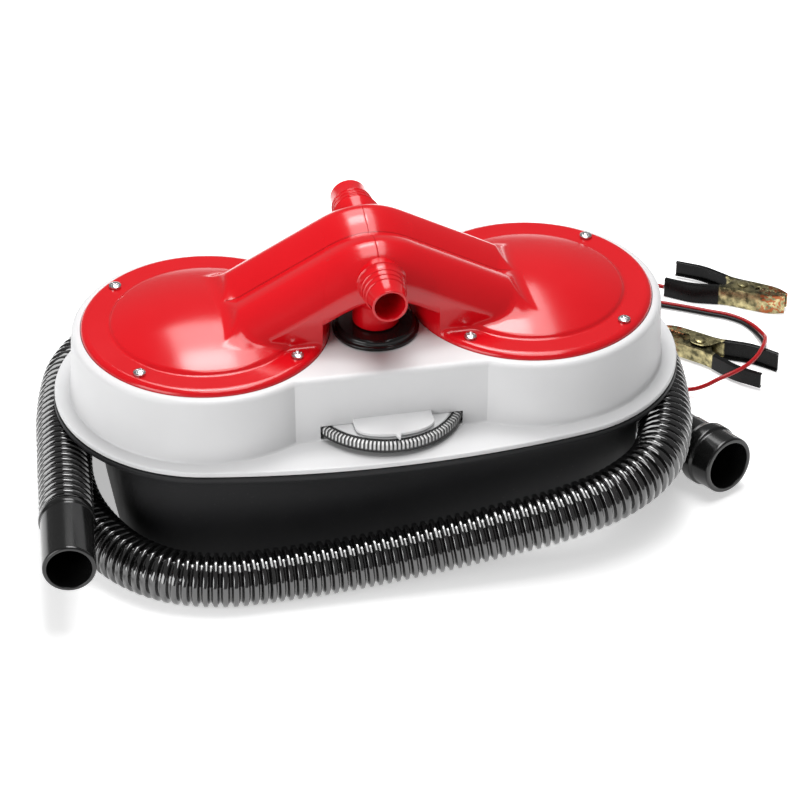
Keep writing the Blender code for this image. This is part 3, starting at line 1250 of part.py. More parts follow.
# Route of the twin lead in millimetres. Both wires share the first two lists and part at the loop
LEAD_DROP = [
    (30.0, 90.0, 83.8), (30.0, 97.5, 80.3), (29.2, 106.0, 70.0), (28.0, 111.5, 55.0), (25.5, 113.5, 36.0),
    (20.5, 114.0, 17.0), (13.0, 114.0, 6.0), (1.5, 113.3, 1.9),
]
LEAD_RUN = [
    (12.0, 180.0, 4.2), (42.0, 176.0, 1.8), (74.0, 169.0, 1.5), (106.0, 160.0, 1.5), (136.0, 149.5, 1.5),
    (162.0, 140.0, 1.5), (184.0, 131.0, 1.5), (203.0, 121.8, 1.5), (220.0, 112.2, 1.5), (235.5, 103.0, 1.5),
]
RED_TAIL = [
    (244.5, 95.0, 1.5), (248.5, 85.0, 1.7), (250.0, 75.0, 3.6), (248.8, 65.5, 8.0), (245.3, 56.5, 12.6),
    (240.0, 48.0, 15.0), (233.0, 40.0, 15.6), (225.5, 34.0, 15.6), (216.9, 29.5, 15.4), (206.5, 28.0, 12.5),
    (196.0, 30.0, 6.5), (187.0, 37.5, 2.2), (180.5, 50.5, 1.5), (175.0, 70.0, 1.5), (172.0, 88.0, 1.5),
    (170.0, 104.0, 2.2), (168.5, 118.0, 4.4), (168.0, 131.0, 5.6), (170.5, 143.0, 5.0), (178.5, 149.0, 4.6),
    (188.0, 145.5, 5.6),
]
BLACK_TAIL = [(241.4, 94.6, 1.5), (244.6, 86.0, 1.6), (245.4, 77.0, 3.2), (244.8, 69.0, 5.4)]


def coil_route():
    """The put-away length: a flat spiral inwards, a climb, and a spiral out again on top."""
    half_turns = COIL_TURNS_PER_LAYER
    top = WIRE_RADIUS * 2 + 0.9 * MM
    start = -math.pi / 2
    points = []
    layer_steps = int(COIL_STEPS * half_turns)
    for i in range(2 * layer_steps + 1):
        turns = i / COIL_STEPS
        inward = min(turns, 2 * half_turns - turns)
        radius = COIL_OUTER - COIL_PITCH * inward
        climb = min(max((turns - half_turns + 0.25) / 0.5, 0.0), 1.0)
        z = WIRE_RADIUS + 0.2 * MM + top * climb
        a = start - 2 * math.pi * turns
        points.append((COIL_CENTRE[0] + radius * math.cos(a), COIL_CENTRE[1] + radius * math.sin(a), z))
    return points


def beside(points, offset):
    """Move a route sideways in plan, to its left where offset is positive."""
    route = np.array(points)
    heading = np.gradient(route, axis=0)
    heading[:, 2] = 0.0
    heading /= np.linalg.norm(heading, axis=1)[:, None]
    return route + offset * np.stack([-heading[:, 1], heading[:, 0], np.zeros(len(route))], axis=1)


def wire_route(offset, tail, ends):
    gland = [(GLAND_X, GLAND_END + FIT, GLAND_Z)]
    drop = [tuple(c * MM for c in point) for point in LEAD_DROP]
    run = [tuple(c * MM for c in point) for point in LEAD_RUN]
    coil = coil_route()
    first = beside(smooth_route(gland + drop + [coil[0]], 10.0 * MM), offset)[:-1]
    turns = beside(coil, offset)
    last = beside(smooth_route([coil[-1]] + run, 14.0 * MM), offset)[1:]
    parted = smooth_route([last[-1]] + [tuple(c * MM for c in p) for p in tail] + ends, 8.0 * MM)[1:]
    return np.vstack([first, turns, last, parted])


def clip_point(pivot, angle, x, y, z=0.0):
    """A point in a clip's own frame, jaw along +X, in the object's frame."""
    c, s = math.cos(angle), math.sin(angle)
    return (pivot[0] + c * x - s * y, pivot[1] + s * x + c * y, z)


def clip_line(sign):
    """Centre line of one clip half from the handle end to the jaw tip."""
    tip = CLIP_SHEET + 0.9 * MM
    return [
        (-CLIP_HANDLE, sign * CLIP_HANDLE_SPREAD),
        (-CLIP_HANDLE * 0.62, sign * (CLIP_HANDLE_SPREAD + 0.8 * MM)),
        (-CLIP_EAR_RADIUS * 1.1, sign * CLIP_HALF_SPREAD),
        (CLIP_EAR_RADIUS * 0.9, sign * CLIP_HALF_SPREAD),
        (CLIP_JAW * 0.72, sign * (CLIP_HALF_SPREAD - 0.4 * MM)),
        (CLIP_JAW, sign * tip),
    ]


def strip_outline(line, thickness):
    """Both sides of a bent strip, mitred at its bends."""
    points = [Vector(p) for p in line]
    left, right = [], []
    for i, point in enumerate(points):
        before = (point - points[i - 1]).normalized() if i > 0 else (points[1] - point).normalized()
        after = (points[i + 1] - point).normalized() if i < len(points) - 1 else before
        mean = (before + after).normalized()
        normal = Vector((-mean.y, mean.x))
        reach = thickness / 2 / max(0.5, mean.dot(before))
        left.append(point + normal * reach)
        right.append(point - normal * reach)
    return [tuple(p) for p in left + list(reversed(right))]


def build_clip(label, pivot_place, angle, fixed_sign):
    """A sprung battery clip lying on its side: its pin stands upright through both halves."""
    rest = add_empty(f"{label}_clip_place", (pivot_place[0], pivot_place[1], 0.0))
    rest.rotation_euler = (0.0, 0.0, angle)
    low = 0.2 * MM
    high = low + CLIP_WIDTH
    inset = CLIP_EAR + 0.4 * MM
    fixed = prism(strip_outline(clip_line(fixed_sign), CLIP_SHEET), low, high)
    ear_rim = CLIP_HALF_SPREAD + CLIP_SHEET / 2
    ear = [(-CLIP_EAR_RADIUS, ear_rim), (CLIP_EAR_RADIUS, ear_rim), (CLIP_EAR_RADIUS * 0.8, 0.0)]
    ear += [(CLIP_EAR_RADIUS * 0.4, -CLIP_EAR_RADIUS * 0.62), (-CLIP_EAR_RADIUS * 0.4, -CLIP_EAR_RADIUS * 0.62)]
    ear += [(-CLIP_EAR_RADIUS * 0.8, 0.0)]
    fixed_ear = [(x, fixed_sign * y) for x, y in ear]
    pin = revolve(rod_profile(CLIP_PIN_RADIUS, low + CLIP_EAR / 2, high - CLIP_EAR / 2), SMALL_ROUND)
    fixed = join(fixed, prism(fixed_ear, low, low + CLIP_EAR), prism(fixed_ear, high - CLIP_EAR, high), pin)
    smooth(add_object(f"{label}_clip_jaw", fixed, "plated", rest))
    moving_low, moving_high = low + inset, high - inset
    moving = prism(strip_outline(clip_line(-fixed_sign), CLIP_SHEET), moving_low, moving_high)
    small_ear = [(-CLIP_EAR_RADIUS * 0.8, ear_rim), (CLIP_EAR_RADIUS * 0.8, ear_rim)]
    small_ear += [(CLIP_EAR_RADIUS * 0.6, 0.0), (CLIP_EAR_RADIUS * 0.3, -CLIP_EAR_RADIUS * 0.5)]
    small_ear += [(-CLIP_EAR_RADIUS * 0.3, -CLIP_EAR_RADIUS * 0.5), (-CLIP_EAR_RADIUS * 0.6, 0.0)]
    moving_ear = [(x, -fixed_sign * y) for x, y in small_ear]
    lower_ear = prism(moving_ear, moving_low, moving_low + CLIP_EAR)
    upper_ear = prism(moving_ear, moving_high - CLIP_EAR, moving_high)
    hole = revolve(rod_profile(CLIP_PIN_RADIUS + RUNNING_FIT, low, high), SMALL_ROUND)
    moving = cut(join(moving, lower_ear, upper_ear), hole)
    smooth(add_object(f"{label}_clip_lever", moving, "plated", rest))
    spring_low = moving_low + CLIP_EAR + FIT
    spring_high = moving_high - CLIP_EAR - FIT
    points = spring_points(
        CLIP_SPRING_RADIUS, spring_low, spring_high, CLIP_SPRING_WIRE, CLIP_SPRING_TURNS, (0.0, 0.0)
    )
    print(f"{label}_clip_spring gap mm", round(self_gap(points, CLIP_SPRING_WIRE) / MM, 2))
    mesh = curve_mesh(tube_curve("clip_spring", points, CLIP_SPRING_WIRE / 2, 1))
    smooth(add_object(f"{label}_clip_spring", mesh, "steel", rest))


def build_leads():
    middle = 0.2 * MM + CLIP_WIDTH / 2
    run_in = 3 * 2 * WIRE_RADIUS
    side = CLIP_HANDLE_SPREAD + 0.8 * MM + CLIP_SHEET / 2 + FIT
    red_ends = [
        clip_point(RED_CLIP_PIVOT, RED_CLIP_ANGLE, -CLIP_HANDLE - FIT - gap, -CLIP_HANDLE_SPREAD, middle)
        for gap in (run_in, run_in / 2, 0.0)
    ]
    black_ends = [
        clip_point(BLACK_CLIP_PIVOT, BLACK_CLIP_ANGLE, -CLIP_HANDLE * 0.7, -side - gap, middle)
        for gap in (run_in, run_in / 2, 0.0)
    ]
    half = WIRE_SPACING / 2
    wires = (("lead_red", half, RED_TAIL, red_ends), ("lead_black", -half, BLACK_TAIL, black_ends))
    for name, offset, tail, ends in wires:
        points = wire_route(offset, tail, ends)
        gap = self_gap(points, 2 * WIRE_RADIUS)
        print(name, "points", len(points), "length m", round(route_length(points), 3), "gap mm", round(gap / MM, 2))
        mesh = curve_mesh(tube_curve(name, points, WIRE_RADIUS, 1))
        smooth(add_object(name, mesh, "red_wire" if name == "lead_red" else "black_wire"), 60.0)


def main():
    for obj in list(bpy.data.objects):
        bpy.data.objects.remove(obj, do_unlink=True)
    build_base(build_feet())
    build_case()
    build_cover("left_cover", -1)
    build_cover("right_cover", 1)
    build_spigot("delivery_spigot", -1, SPIGOT_MOUTH_RADIUS)
    build_spigot("intake_spigot", 1, SPIGOT_MOUTH_RADIUS + 0.5 * MM)
    build_sense_tube()
    build_capsule()
    build_plunger()
    build_relief_spring()
    build_dial()
    build_spindle()
    build_screws()
    crank = add_empty("crank_axis", (0.0, 0.0, MOTOR_Z))
    build_motor(crank)
    for label, side, lift in (("left", -1, CRANK_THROW), ("right", 1, -CRANK_THROW)):
        build_valves(label, side)
        build_chamber(label, side, lift, crank)
    build_hose()
    build_gland()
    build_clip("red", RED_CLIP_PIVOT, RED_CLIP_ANGLE, -1)
    build_clip("black", BLACK_CLIP_PIVOT, BLACK_CLIP_ANGLE, -1)
    build_leads()


main()
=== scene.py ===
# %% [markdown]
# # A twin-chamber air pump, its hose and its leads
# The pump is a low black tub under a white double case. Two red covers close the two round
# chambers and lean on each other in a twin-ridged arch that carries the air to two spigots.
# A dial at the front sets the relief pressure, a ribbed hose lies wound round the tub, and two
# thin leads end in battery clips. This lesson loads the exact solids, lays the cords, and then
# makes each visible piece again as a smooth surface on the same frame.

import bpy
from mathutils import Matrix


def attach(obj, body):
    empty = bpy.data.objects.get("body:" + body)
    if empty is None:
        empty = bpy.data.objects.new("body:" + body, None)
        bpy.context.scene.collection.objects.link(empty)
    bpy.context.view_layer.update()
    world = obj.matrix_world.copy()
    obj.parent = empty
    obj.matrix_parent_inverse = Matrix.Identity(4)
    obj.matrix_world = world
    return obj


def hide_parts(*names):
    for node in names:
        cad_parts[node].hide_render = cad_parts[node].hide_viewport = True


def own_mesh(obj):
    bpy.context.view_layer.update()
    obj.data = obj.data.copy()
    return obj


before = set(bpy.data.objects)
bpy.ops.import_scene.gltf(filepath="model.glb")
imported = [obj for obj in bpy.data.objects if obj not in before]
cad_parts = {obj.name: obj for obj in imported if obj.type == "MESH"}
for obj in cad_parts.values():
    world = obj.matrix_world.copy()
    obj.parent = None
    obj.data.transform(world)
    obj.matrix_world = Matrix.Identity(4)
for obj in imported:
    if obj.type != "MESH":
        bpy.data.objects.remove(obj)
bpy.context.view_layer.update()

import math

import bmesh
import bpy
import numpy as np
from mathutils import Matrix, Vector

MM = 0.001
TURN = 2 * math.pi

# %% [markdown]
# ## Helpers for surfaces
# Nearly every piece of a moulded pump is a section carried along a line or turned about an
# axis. So one helper makes a mesh of grids of points, one turns a profile, one rounds the
# corners of a line and one points a turned piece along any direction. Everything is worked out
# in millimetres as whole arrays and scaled to metres at the end.


# %%
def sharpen(mesh, crease):
    """Shade a mesh smooth, but keep every edge sharper than the crease angle in degrees."""
    mesh.shade_smooth()
    mesh.set_sharp_from_angle(angle=math.radians(crease))


def skin(name, *grids, crease=32.0):
    """One mesh made of grids of points, rows by columns by xyz, in millimetres.

    Each grid closes across its columns. A grid whose last row repeats its first closes along
    its rows too, and any other is shut at both ends by one flat face.
    """
    points, faces, start = [], [], 0
    for grid in grids:
        rows, columns = grid.shape[:2]
        index = start + np.arange(rows * columns).reshape(rows, columns)
        beside = np.roll(index, -1, axis=1)
        quads = np.stack([index[:-1], beside[:-1], beside[1:], index[1:]], axis=-1)
        faces += quads.reshape(-1, 4).tolist()
        if not np.allclose(grid[0], grid[-1]):
            faces += [index[0, ::-1].tolist(), index[-1].tolist()]
        points.append(grid.reshape(-1, 3))
        start += rows * columns
    mesh = bpy.data.meshes.new(name)
    mesh.from_pydata((np.concatenate(points) * MM).tolist(), [], faces)
    shape = bmesh.new()
    shape.from_mesh(mesh)
    bmesh.ops.remove_doubles(shape, verts=shape.verts, dist=0.002 * MM)
    bmesh.ops.recalc_face_normals(shape, faces=shape.faces)
    shape.to_mesh(mesh)
    shape.free()
    sharpen(mesh, crease)
    made = bpy.data.objects.new(name, mesh)
    bpy.context.scene.collection.objects.link(made)
    return made


def turned(profile, centre=(0.0, 0.0), steps=96):
    """Turn a profile of (radius, height) points about an upright axis: x = r cos a, y = r sin a."""
    radius, height = np.asarray(profile, float).T[..., None]
    angle = np.linspace(0.0, TURN, steps, endpoint=False)
    x = centre[0] + radius * np.cos(angle)
    y = centre[1] + radius * np.sin(angle)
    return np.stack([x, y, height + 0.0 * angle], axis=-1)


def aimed(grid, origin, direction):
    """Turn a grid made about the Z axis so that its axis runs along a direction from an origin."""
    turn = np.array(Vector(direction).to_track_quat("Z", "Y").to_matrix())
    return grid @ turn.T + np.asarray(origin, float)


def soften(corners, radius, steps=5, closed=False):
    """Round the corners of a line: each becomes the curve (1-t)^2 a + 2t(1-t) b + t^2 c.

    The points a and c lie on the two sides, a radius from the corner b or half a side at most.
    """
    b = np.asarray(corners, float)
    before, after = np.roll(b, 1, axis=0) - b, np.roll(b, -1, axis=0) - b
    long_before = np.linalg.norm(before, axis=1, keepdims=True)
    long_after = np.linalg.norm(after, axis=1, keepdims=True)
    a = b + before * np.minimum(0.45, radius / long_before)
    c = b + after * np.minimum(0.45, radius / long_after)
    t = np.linspace(0.0, 1.0, steps)[None, :, None]
    curve = (1 - t) ** 2 * a[:, None] + 2 * t * (1 - t) * b[:, None] + t**2 * c[:, None]
    if closed:
        return np.concatenate([curve.reshape(-1, 2), curve[0, :1]])
    return np.concatenate([b[:1], curve[1:-1].reshape(-1, 2), b[-1:]])


def carve(made, tool, operation="DIFFERENCE", crease=28.0):
    """Cut a tool out of a piece, or join it on, by an exact Boolean, and remove the tool."""
    change = made.modifiers.new("carve", "BOOLEAN")
    change.operation, change.object, change.solver = operation, tool, "EXACT"
    graph = bpy.context.evaluated_depsgraph_get()
    mesh = bpy.data.meshes.new_from_object(made.evaluated_get(graph))
    made.modifiers.clear()
    made.data = mesh
    bpy.data.objects.remove(tool)
    sharpen(mesh, crease)
    return made


def paint(made, name, rule):
    """Give a mesh a number at each point, worked out by a rule from the points in millimetres."""
    points = np.empty(3 * len(made.data.vertices), np.float32)
    made.data.vertices.foreach_get("co", points)
    layer = made.data.attributes.new(name, "FLOAT", "POINT")
    values = rule(points.reshape(-1, 3).astype(float) / MM)
    layer.data.foreach_set("value", np.ascontiguousarray(values, np.float32))


def smoothstep(low, high, value):
    """0 below low, 1 above high, and 3t^2 - 2t^3 between them."""
    t = np.clip((value - low) / (high - low), 0.0, 1.0)
    return t * t * (3.0 - 2.0 * t)


print("surface helpers ready")

# %% [markdown]
# ## Helpers for finishes
# A finish is a small web of shader nodes. Wrapping a socket in a class of its own lets a
# finish be written as sums, so that the patterns read like formulas. One method makes any node,
# sets it up first and then joins its inputs.


# %%
class Value:
    """A shader socket that takes part in sums; each sum adds one Math node."""

    def __init__(self, web, socket):
        self.web, self.socket = web, socket

    def __add__(self, other):
        return self.web.math("ADD", self, other)

    def __sub__(self, other):
        return self.web.math("SUBTRACT", self, other)

    def __rsub__(self, other):
        return self.web.math("SUBTRACT", other, self)

    def __mul__(self, other):
        return self.web.math("MULTIPLY", self, other)

    def __gt__(self, other):
        return self.web.math("GREATER_THAN", self, other)

    def __lt__(self, other):
        return self.web.math("LESS_THAN", self, other)

    __radd__ = __add__
    __rmul__ = __mul__


class Web:
    """A node tree and the ways to add to it."""

    def __init__(self, tree):
        self.tree = tree

    def node(self, kind, settings=None, inputs=None, output=0):
        made = self.tree.nodes.new(kind)
        for name, value in (settings or {}).items():
            setattr(made, name, value)
        for name, value in (inputs or {}).items():
            self.join(made.inputs[name], value)
        return Value(self, made.outputs[output])

    def join(self, socket, value):
        if isinstance(value, Value):
            self.tree.links.new(value.socket, socket)
        else:
            socket.default_value = value

    def math(self, operation, first, second):
        return self.node("ShaderNodeMath", {"operation": operation}, {0: first, 1: second})

    def one(self, operation, value):
        """A Math node of one input, such as a sine or a square root."""
        return self.node("ShaderNodeMath", {"operation": operation}, {0: value})

    def mix(self, factor, low, high):
        """The colour (1 - factor) low + factor high."""
        inputs = {0: factor, 6: low, 7: high}
        return self.node("ShaderNodeMix", {"data_type": "RGBA"}, inputs, output=2)


class Finish(Web):
    """A surface finish: a principled shader whose inputs vary with the place on the object."""

    def __init__(self, name, **constants):
        self.material = bpy.data.materials.new(name)
        self.material.use_nodes = True
        super().__init__(self.material.node_tree)
        self.shader = self.tree.nodes["Principled BSDF"]
        for key, value in constants.items():
            self.shader.inputs[key.replace("_", " ")].default_value = value
        self.here = self.node("ShaderNodeTexCoord", output="Object")

    def noise(self, scale, detail=2.0, stretch=None):
        """Noise with features about 1 / scale metres wide, stretched along an axis or not."""
        place = self.here
        if stretch:
            place = self.node("ShaderNodeMapping", inputs={0: place, 3: stretch})
        inputs = {"Vector": place, "Scale": scale, "Detail": detail}
        return self.node("ShaderNodeTexNoise", inputs=inputs)

    def specks(self, scale, size):
        """1 in small round spots, one to each cell of about 1 / scale metres, and 0 elsewhere."""
        inputs = {"Vector": self.here, "Scale": scale}
        return self.node("ShaderNodeTexVoronoi", inputs=inputs) < size

    def part(self, axis):
        """One coordinate of the place on the object, in metres."""
        return self.node("ShaderNodeSeparateXYZ", inputs={0: self.here}, output=axis)

    def mark(self, name):
        """The number painted on the mesh under this name."""
        return self.node("ShaderNodeAttribute", {"attribute_name": name}, output="Fac")

    def set(self, **inputs):
        for key, value in inputs.items():
            self.join(self.shader.inputs[key.replace("_", " ")], value)
        return self

    def bump(self, height, depth, strength=1.0):
        """Raise the surface by a height of 0 to 1 times a depth in metres."""
        inputs = {"Height": height, "Distance": depth, "Strength": strength}
        return self.set(Normal=self.node("ShaderNodeBump", inputs=inputs, output="Normal"))


def rgb(red, green, blue):
    return (red, green, blue, 1.0)


def grey(level):
    return rgb(level, level, level)


def piece(made, body, slot, finish, *nodes):
    """Give a piece its finish and its body, and hide the exact solids that it stands for; the slot
    argument is not used.
    """
    made.data.materials.clear()
    made.data.materials.append(finish.material)
    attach(made, body)
    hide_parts(*nodes)
    print(f"{made.name}: {len(made.data.polygons)} faces, stands for {', '.join(nodes) or 'no solid'}")
    return made


print("finish helpers ready")

# %% [markdown]
# ## Camera, floor and light
# The photograph was taken from the front left and well above, with a long lens, so that upright
# edges stay nearly parallel. The pump stands on white paper. One long soft box hangs over it from
# behind to in front and draws a line on each ridge and on each rib of the hose. A small key lamp
# under its back puts the white spot on each dome. A weak wide lamp lights the walls, and a dim
# surround keeps the blacks deep. The paper glows a little for the camera, so that its shadows stay
# soft.

# %%
LENS, DISTANCE, ROLL = 183.35, 2.1010, 0.01318
AIM = Vector((-1.131, -86.595, 105.0)) * MM
back = Vector((-0.1764, -0.8001, 0.5734)).normalized()
side = Vector((0.9766, -0.2153, 0.0)).normalized()
above = back.cross(side)
across = (side + above * ROLL).normalized()
upward = back.cross(across)
lens = bpy.data.cameras.new("camera")
lens.lens, lens.sensor_width = LENS, 36.0
lens.clip_start, lens.clip_end = 0.05, 50.0
camera = bpy.data.objects.new("camera", lens)
camera.matrix_world = Matrix.Translation(AIM + back * DISTANCE) @ (
    Matrix((across, upward, back)).transposed().to_4x4()
)
bpy.context.scene.collection.objects.link(camera)
bpy.context.scene.camera = camera
bpy.context.scene.view_settings.view_transform = "Standard"

AMBIENT, PAPER_GLOW = 0.25, 0.46
world = bpy.data.worlds.new("studio")
bpy.context.scene.world = world
world.use_nodes = True
world.node_tree.nodes["Background"].inputs["Color"].default_value = grey(1.0)
world.node_tree.nodes["Background"].inputs["Strength"].default_value = AMBIENT


def lamp(name, place, size, power):
    """A soft lamp of a given width and height that looks at the middle of the pump."""
    light = bpy.data.lights.new(name, "AREA")
    light.shape = "RECTANGLE"
    light.size, light.size_y, light.energy = *size, power
    made = bpy.data.objects.new(name, light)
    away = (Vector(place) - Vector((0.0, 0.0, 0.07))).normalized()
    wide = Vector((0.0, 1.0, 0.0)).cross(away).normalized()
    turn = Matrix((wide, away.cross(wide), away)).transposed().to_4x4()
    made.matrix_world = Matrix.Translation(place) @ turn
    bpy.context.scene.collection.objects.link(made)
    return made


lamp("soft_box", (0.08, 0.22, 1.25), (0.62, 1.5), 17.0)
lamp("key", (0.0, 0.38, 1.24), (0.40, 0.26), 3.5)
lamp("fill", (-1.35, -0.95, 0.50), (1.0, 1.0), 15.5)

FLOOR_HALF = 3000.0
edge = np.linspace(-FLOOR_HALF, FLOOR_HALF, 3)
corners = [(x, y, -0.2 * MM) for y in edge * MM for x in edge * MM]
tiles = [(i, i + 1, i + 4, i + 3) for i in (0, 1, 3, 4)]
ground = bpy.data.meshes.new("floor")
ground.from_pydata(corners, [], tiles)
floor = bpy.data.objects.new("floor", ground)
bpy.context.scene.collection.objects.link(floor)
paper = Finish("floor_paper", Roughness=0.9, Specular_IOR_Level=0.1)
paper.set(Base_Color=paper.mix(paper.noise(3.0), grey(0.97), grey(0.99)))
RAYS = ("Camera", "Glossy", "Transmission")
seen = [paper.node("ShaderNodeLightPath", output=f"Is {kind} Ray") for kind in RAYS]
glow = paper.math("MAXIMUM", paper.math("MAXIMUM", seen[0], seen[1]), seen[2]) * PAPER_GLOW
paper.set(Emission_Color=paper.mix(glow, grey(0.0), grey(1.0)), Emission_Strength=1.0)
ground.materials.append(paper.material)
print("camera at", [round(v, 3) for v in camera.location])

# %% [markdown]
# ## Finishes
# The covers are saturated red plastic with a high gloss. The case is a white, slightly greyed
# plastic with a fine grain. The tub is satin black with a little dust, and the hose is glossy. Metal
# is nickel on the screws, stained yellow steel on the clips, and plain steel, alloy and painted steel
# inside.


# %%
def plastic(name, low, high, roughness, grain, depth, specular=0.5, dust=0.0, coat=0.0):
    """A moulded plastic: a slow drift of colour, uneven gloss, a fine grain and some dust."""
    finish = Finish(name, Specular_IOR_Level=specular, Coat_Weight=coat, Coat_Roughness=0.06)
    drift = finish.noise(26.0, 3.0)
    colour = finish.mix(drift, low, high)
    if dust:
        specks = finish.specks(520.0, 0.055) * (finish.noise(90.0) > 0.5)
        colour = finish.mix(specks * dust, colour, rgb(0.45, 0.44, 0.42))
    uneven = finish.noise(60.0, 4.0) * roughness * 0.4
    finish.set(Base_Color=colour, Roughness=roughness * 0.8 + uneven)
    return finish.bump(finish.noise(grain, 3.0), depth)


def metal(name, low, high, roughness, stretch, scale=300.0):
    """A plated or bare metal: drifting colour and fine drawn scratches along one axis."""
    finish = Finish(name, Metallic=1.0)
    scratch = finish.noise(scale, 4.0, stretch)
    finish.set(Base_Color=finish.mix(finish.noise(70.0, 4.0), low, high))
    finish.set(Roughness=roughness * 0.75 + scratch * roughness * 0.5)
    return finish.bump(scratch, 0.00003)


def red_finish():
    """Red plastic with the fine rings that the mould's turning left on the two domes, and painted shade
    down the groove between the ridges.
    """
    finish = Finish("cover_red", Specular_IOR_Level=0.40, Coat_Weight=0.15, Coat_Roughness=0.10)
    x, y, z = (finish.part(axis) for axis in "XYZ")
    # painted shade: a thin band along the groove between the two ridges is darkened in colour
    groove = (y * y < (0.45 * MM) ** 2) * (z > 119.5 * MM)
    drift = finish.noise(22.0, 3.0)
    colour = finish.mix(drift, rgb(0.515, 0.002, 0.006), rgb(0.58, 0.004, 0.009))
    finish.set(Base_Color=finish.mix(groove * 0.6, colour, rgb(0.20, 0.002, 0.003)))
    finish.set(Roughness=0.13 + finish.noise(45.0, 4.0) * 0.08)
    from_axis = finish.one("ABSOLUTE", x) - HALF_SPACING * MM
    radius = finish.one("SQRT", from_axis * from_axis + y * y)
    rings = finish.one("SINE", radius * (TURN / (1.3 * MM)))
    grain = finish.noise(1400.0, 2.0)
    return finish.bump(grain * 0.35 + rings * finish.mark("dome") * 0.4, 0.000012)


HALF_SPACING = 88.0
RED = red_finish()
WHITE = plastic("case_white", rgb(0.61, 0.61, 0.615), rgb(0.67, 0.67, 0.675), 0.42, 1500.0, 0.00006,
                0.35)
TUB = plastic("tub_black", rgb(0.006, 0.006, 0.007), rgb(0.010, 0.010, 0.011), 0.50, 700.0, 0.00001,
              0.30, 0.3)
BLACK = plastic("cap_black", grey(0.005), grey(0.009), 0.17, 900.0, 0.00001, 0.36)
HOSE = plastic("hose_black", grey(0.003), grey(0.005), 0.10, 900.0, 0.000006,
               0.8, 0.10, 1.0)
CUFF = plastic("cuff_black", grey(0.004), grey(0.007), 0.20, 900.0, 0.000006, 0.5, 0.10)
RUBBER = plastic("foot_rubber", grey(0.016), grey(0.03), 0.75, 1100.0, 0.00005, 0.2)
NYLON = plastic("valve_nylon", rgb(0.62, 0.60, 0.54), rgb(0.70, 0.68, 0.62), 0.4, 900.0, 0.00002)
RED_WIRE = plastic("wire_red", rgb(0.37, 0.006, 0.009), rgb(0.45, 0.010, 0.013), 0.35, 2500.0, 0.00001,
                   0.3)
BLACK_WIRE = plastic("wire_black", grey(0.004), grey(0.008), 0.35, 2500.0, 0.00001, 0.2)
STEEL = metal("screw_steel", rgb(0.52, 0.52, 0.53), grey(0.66), 0.26, (1.0, 8.0, 8.0))
ALLOY = metal("cast_alloy", rgb(0.55, 0.55, 0.56), rgb(0.68, 0.68, 0.69), 0.45, (1.0, 1.0, 1.0))
CAN = metal("motor_can", rgb(0.16, 0.16, 0.17), rgb(0.24, 0.24, 0.25), 0.38, (1.0, 10.0, 10.0))
FINISHES = {
    "black_gloss": TUB, "white": WHITE, "red": RED, "black": BLACK, "hose": HOSE, "rubber": RUBBER,
    "steel": STEEL, "can": CAN, "alloy": ALLOY, "nylon": NYLON, "red_wire": RED_WIRE,
    "black_wire": BLACK_WIRE,
}
print(len(FINISHES), "finishes ready")

# %% [markdown]
# ## The hose
# The real hose is a blow-moulded tube with closed ring ribs, wound almost twice round the tub in
# the channel under the flange. It could be a bevelled curve, but a bevel has no ribs. So a ring of
# points is carried along the route, eleven times for each rib: across its nearly flat crown, down
# its side and over the valley. The flat crowns are what catches the light in bright short lines.
# The side of each ring stays level with the floor, so that the tube never twists.

# %%
HOSE_RADIUS, HOSE_BORE, RIB_PITCH, RIB_DEPTH = 14.5, 10.3, 4.7, 2.0
HOSE_ROUTE = [
    (-174.6, -73.4, 45), (-173.3, -62, 45), (-172, -50.6, 45), (-170.6, -38, 45), (-167.5, -12, 45),
    (-164, 15, 45), (-160, 34, 45), (-152.8, 56, 45), (-135.8, 77.4, 45), (-110.5, 88.7, 45),
    (-83, 92.9, 45), (-40, 94.3, 45), (10, 94.3, 45), (55, 94.1, 45), (83, 92.9, 45),
    (110.4, 88.6, 45), (135.6, 77.2, 45), (152.5, 55.5, 45), (159.5, 30, 45), (161, 2, 45),
    (157.6, -28, 45), (151, -57.8, 44.5), (137.4, -83.2, 42.5), (115, -98, 38.5), (86, -104.5, 33.5),
    (50, -105.5, 27.5), (10, -104.5, 21), (-30, -104, 16.5), (-68, -104, 14.8), (-98, -103, 14.7),
    (-123, -94.5, 14.7), (-142, -77.5, 14.7), (-154.5, -55, 14.7), (-162.5, -28, 14.7),
    (-164.5, 2, 14.7), (-160.6, 31, 14.7), (-152.8, 56, 14.7), (-135.8, 77.4, 14.7),
    (-110.5, 88.7, 14.7), (-83, 92.9, 14.7), (-40, 94.3, 14.7), (10, 94.3, 14.7), (55, 94.1, 14.7),
    (83, 92.9, 14.7), (110.4, 88.6, 14.7), (135.6, 77.2, 14.7), (152.5, 55.5, 14.7),
    (159.5, 30, 14.7), (161.4, 9, 14.7), (162.9, -7, 14.8), (165.2, -17.5, 15.4), (168, -24.7, 16.2),
    (171.1, -31, 16.8),
]


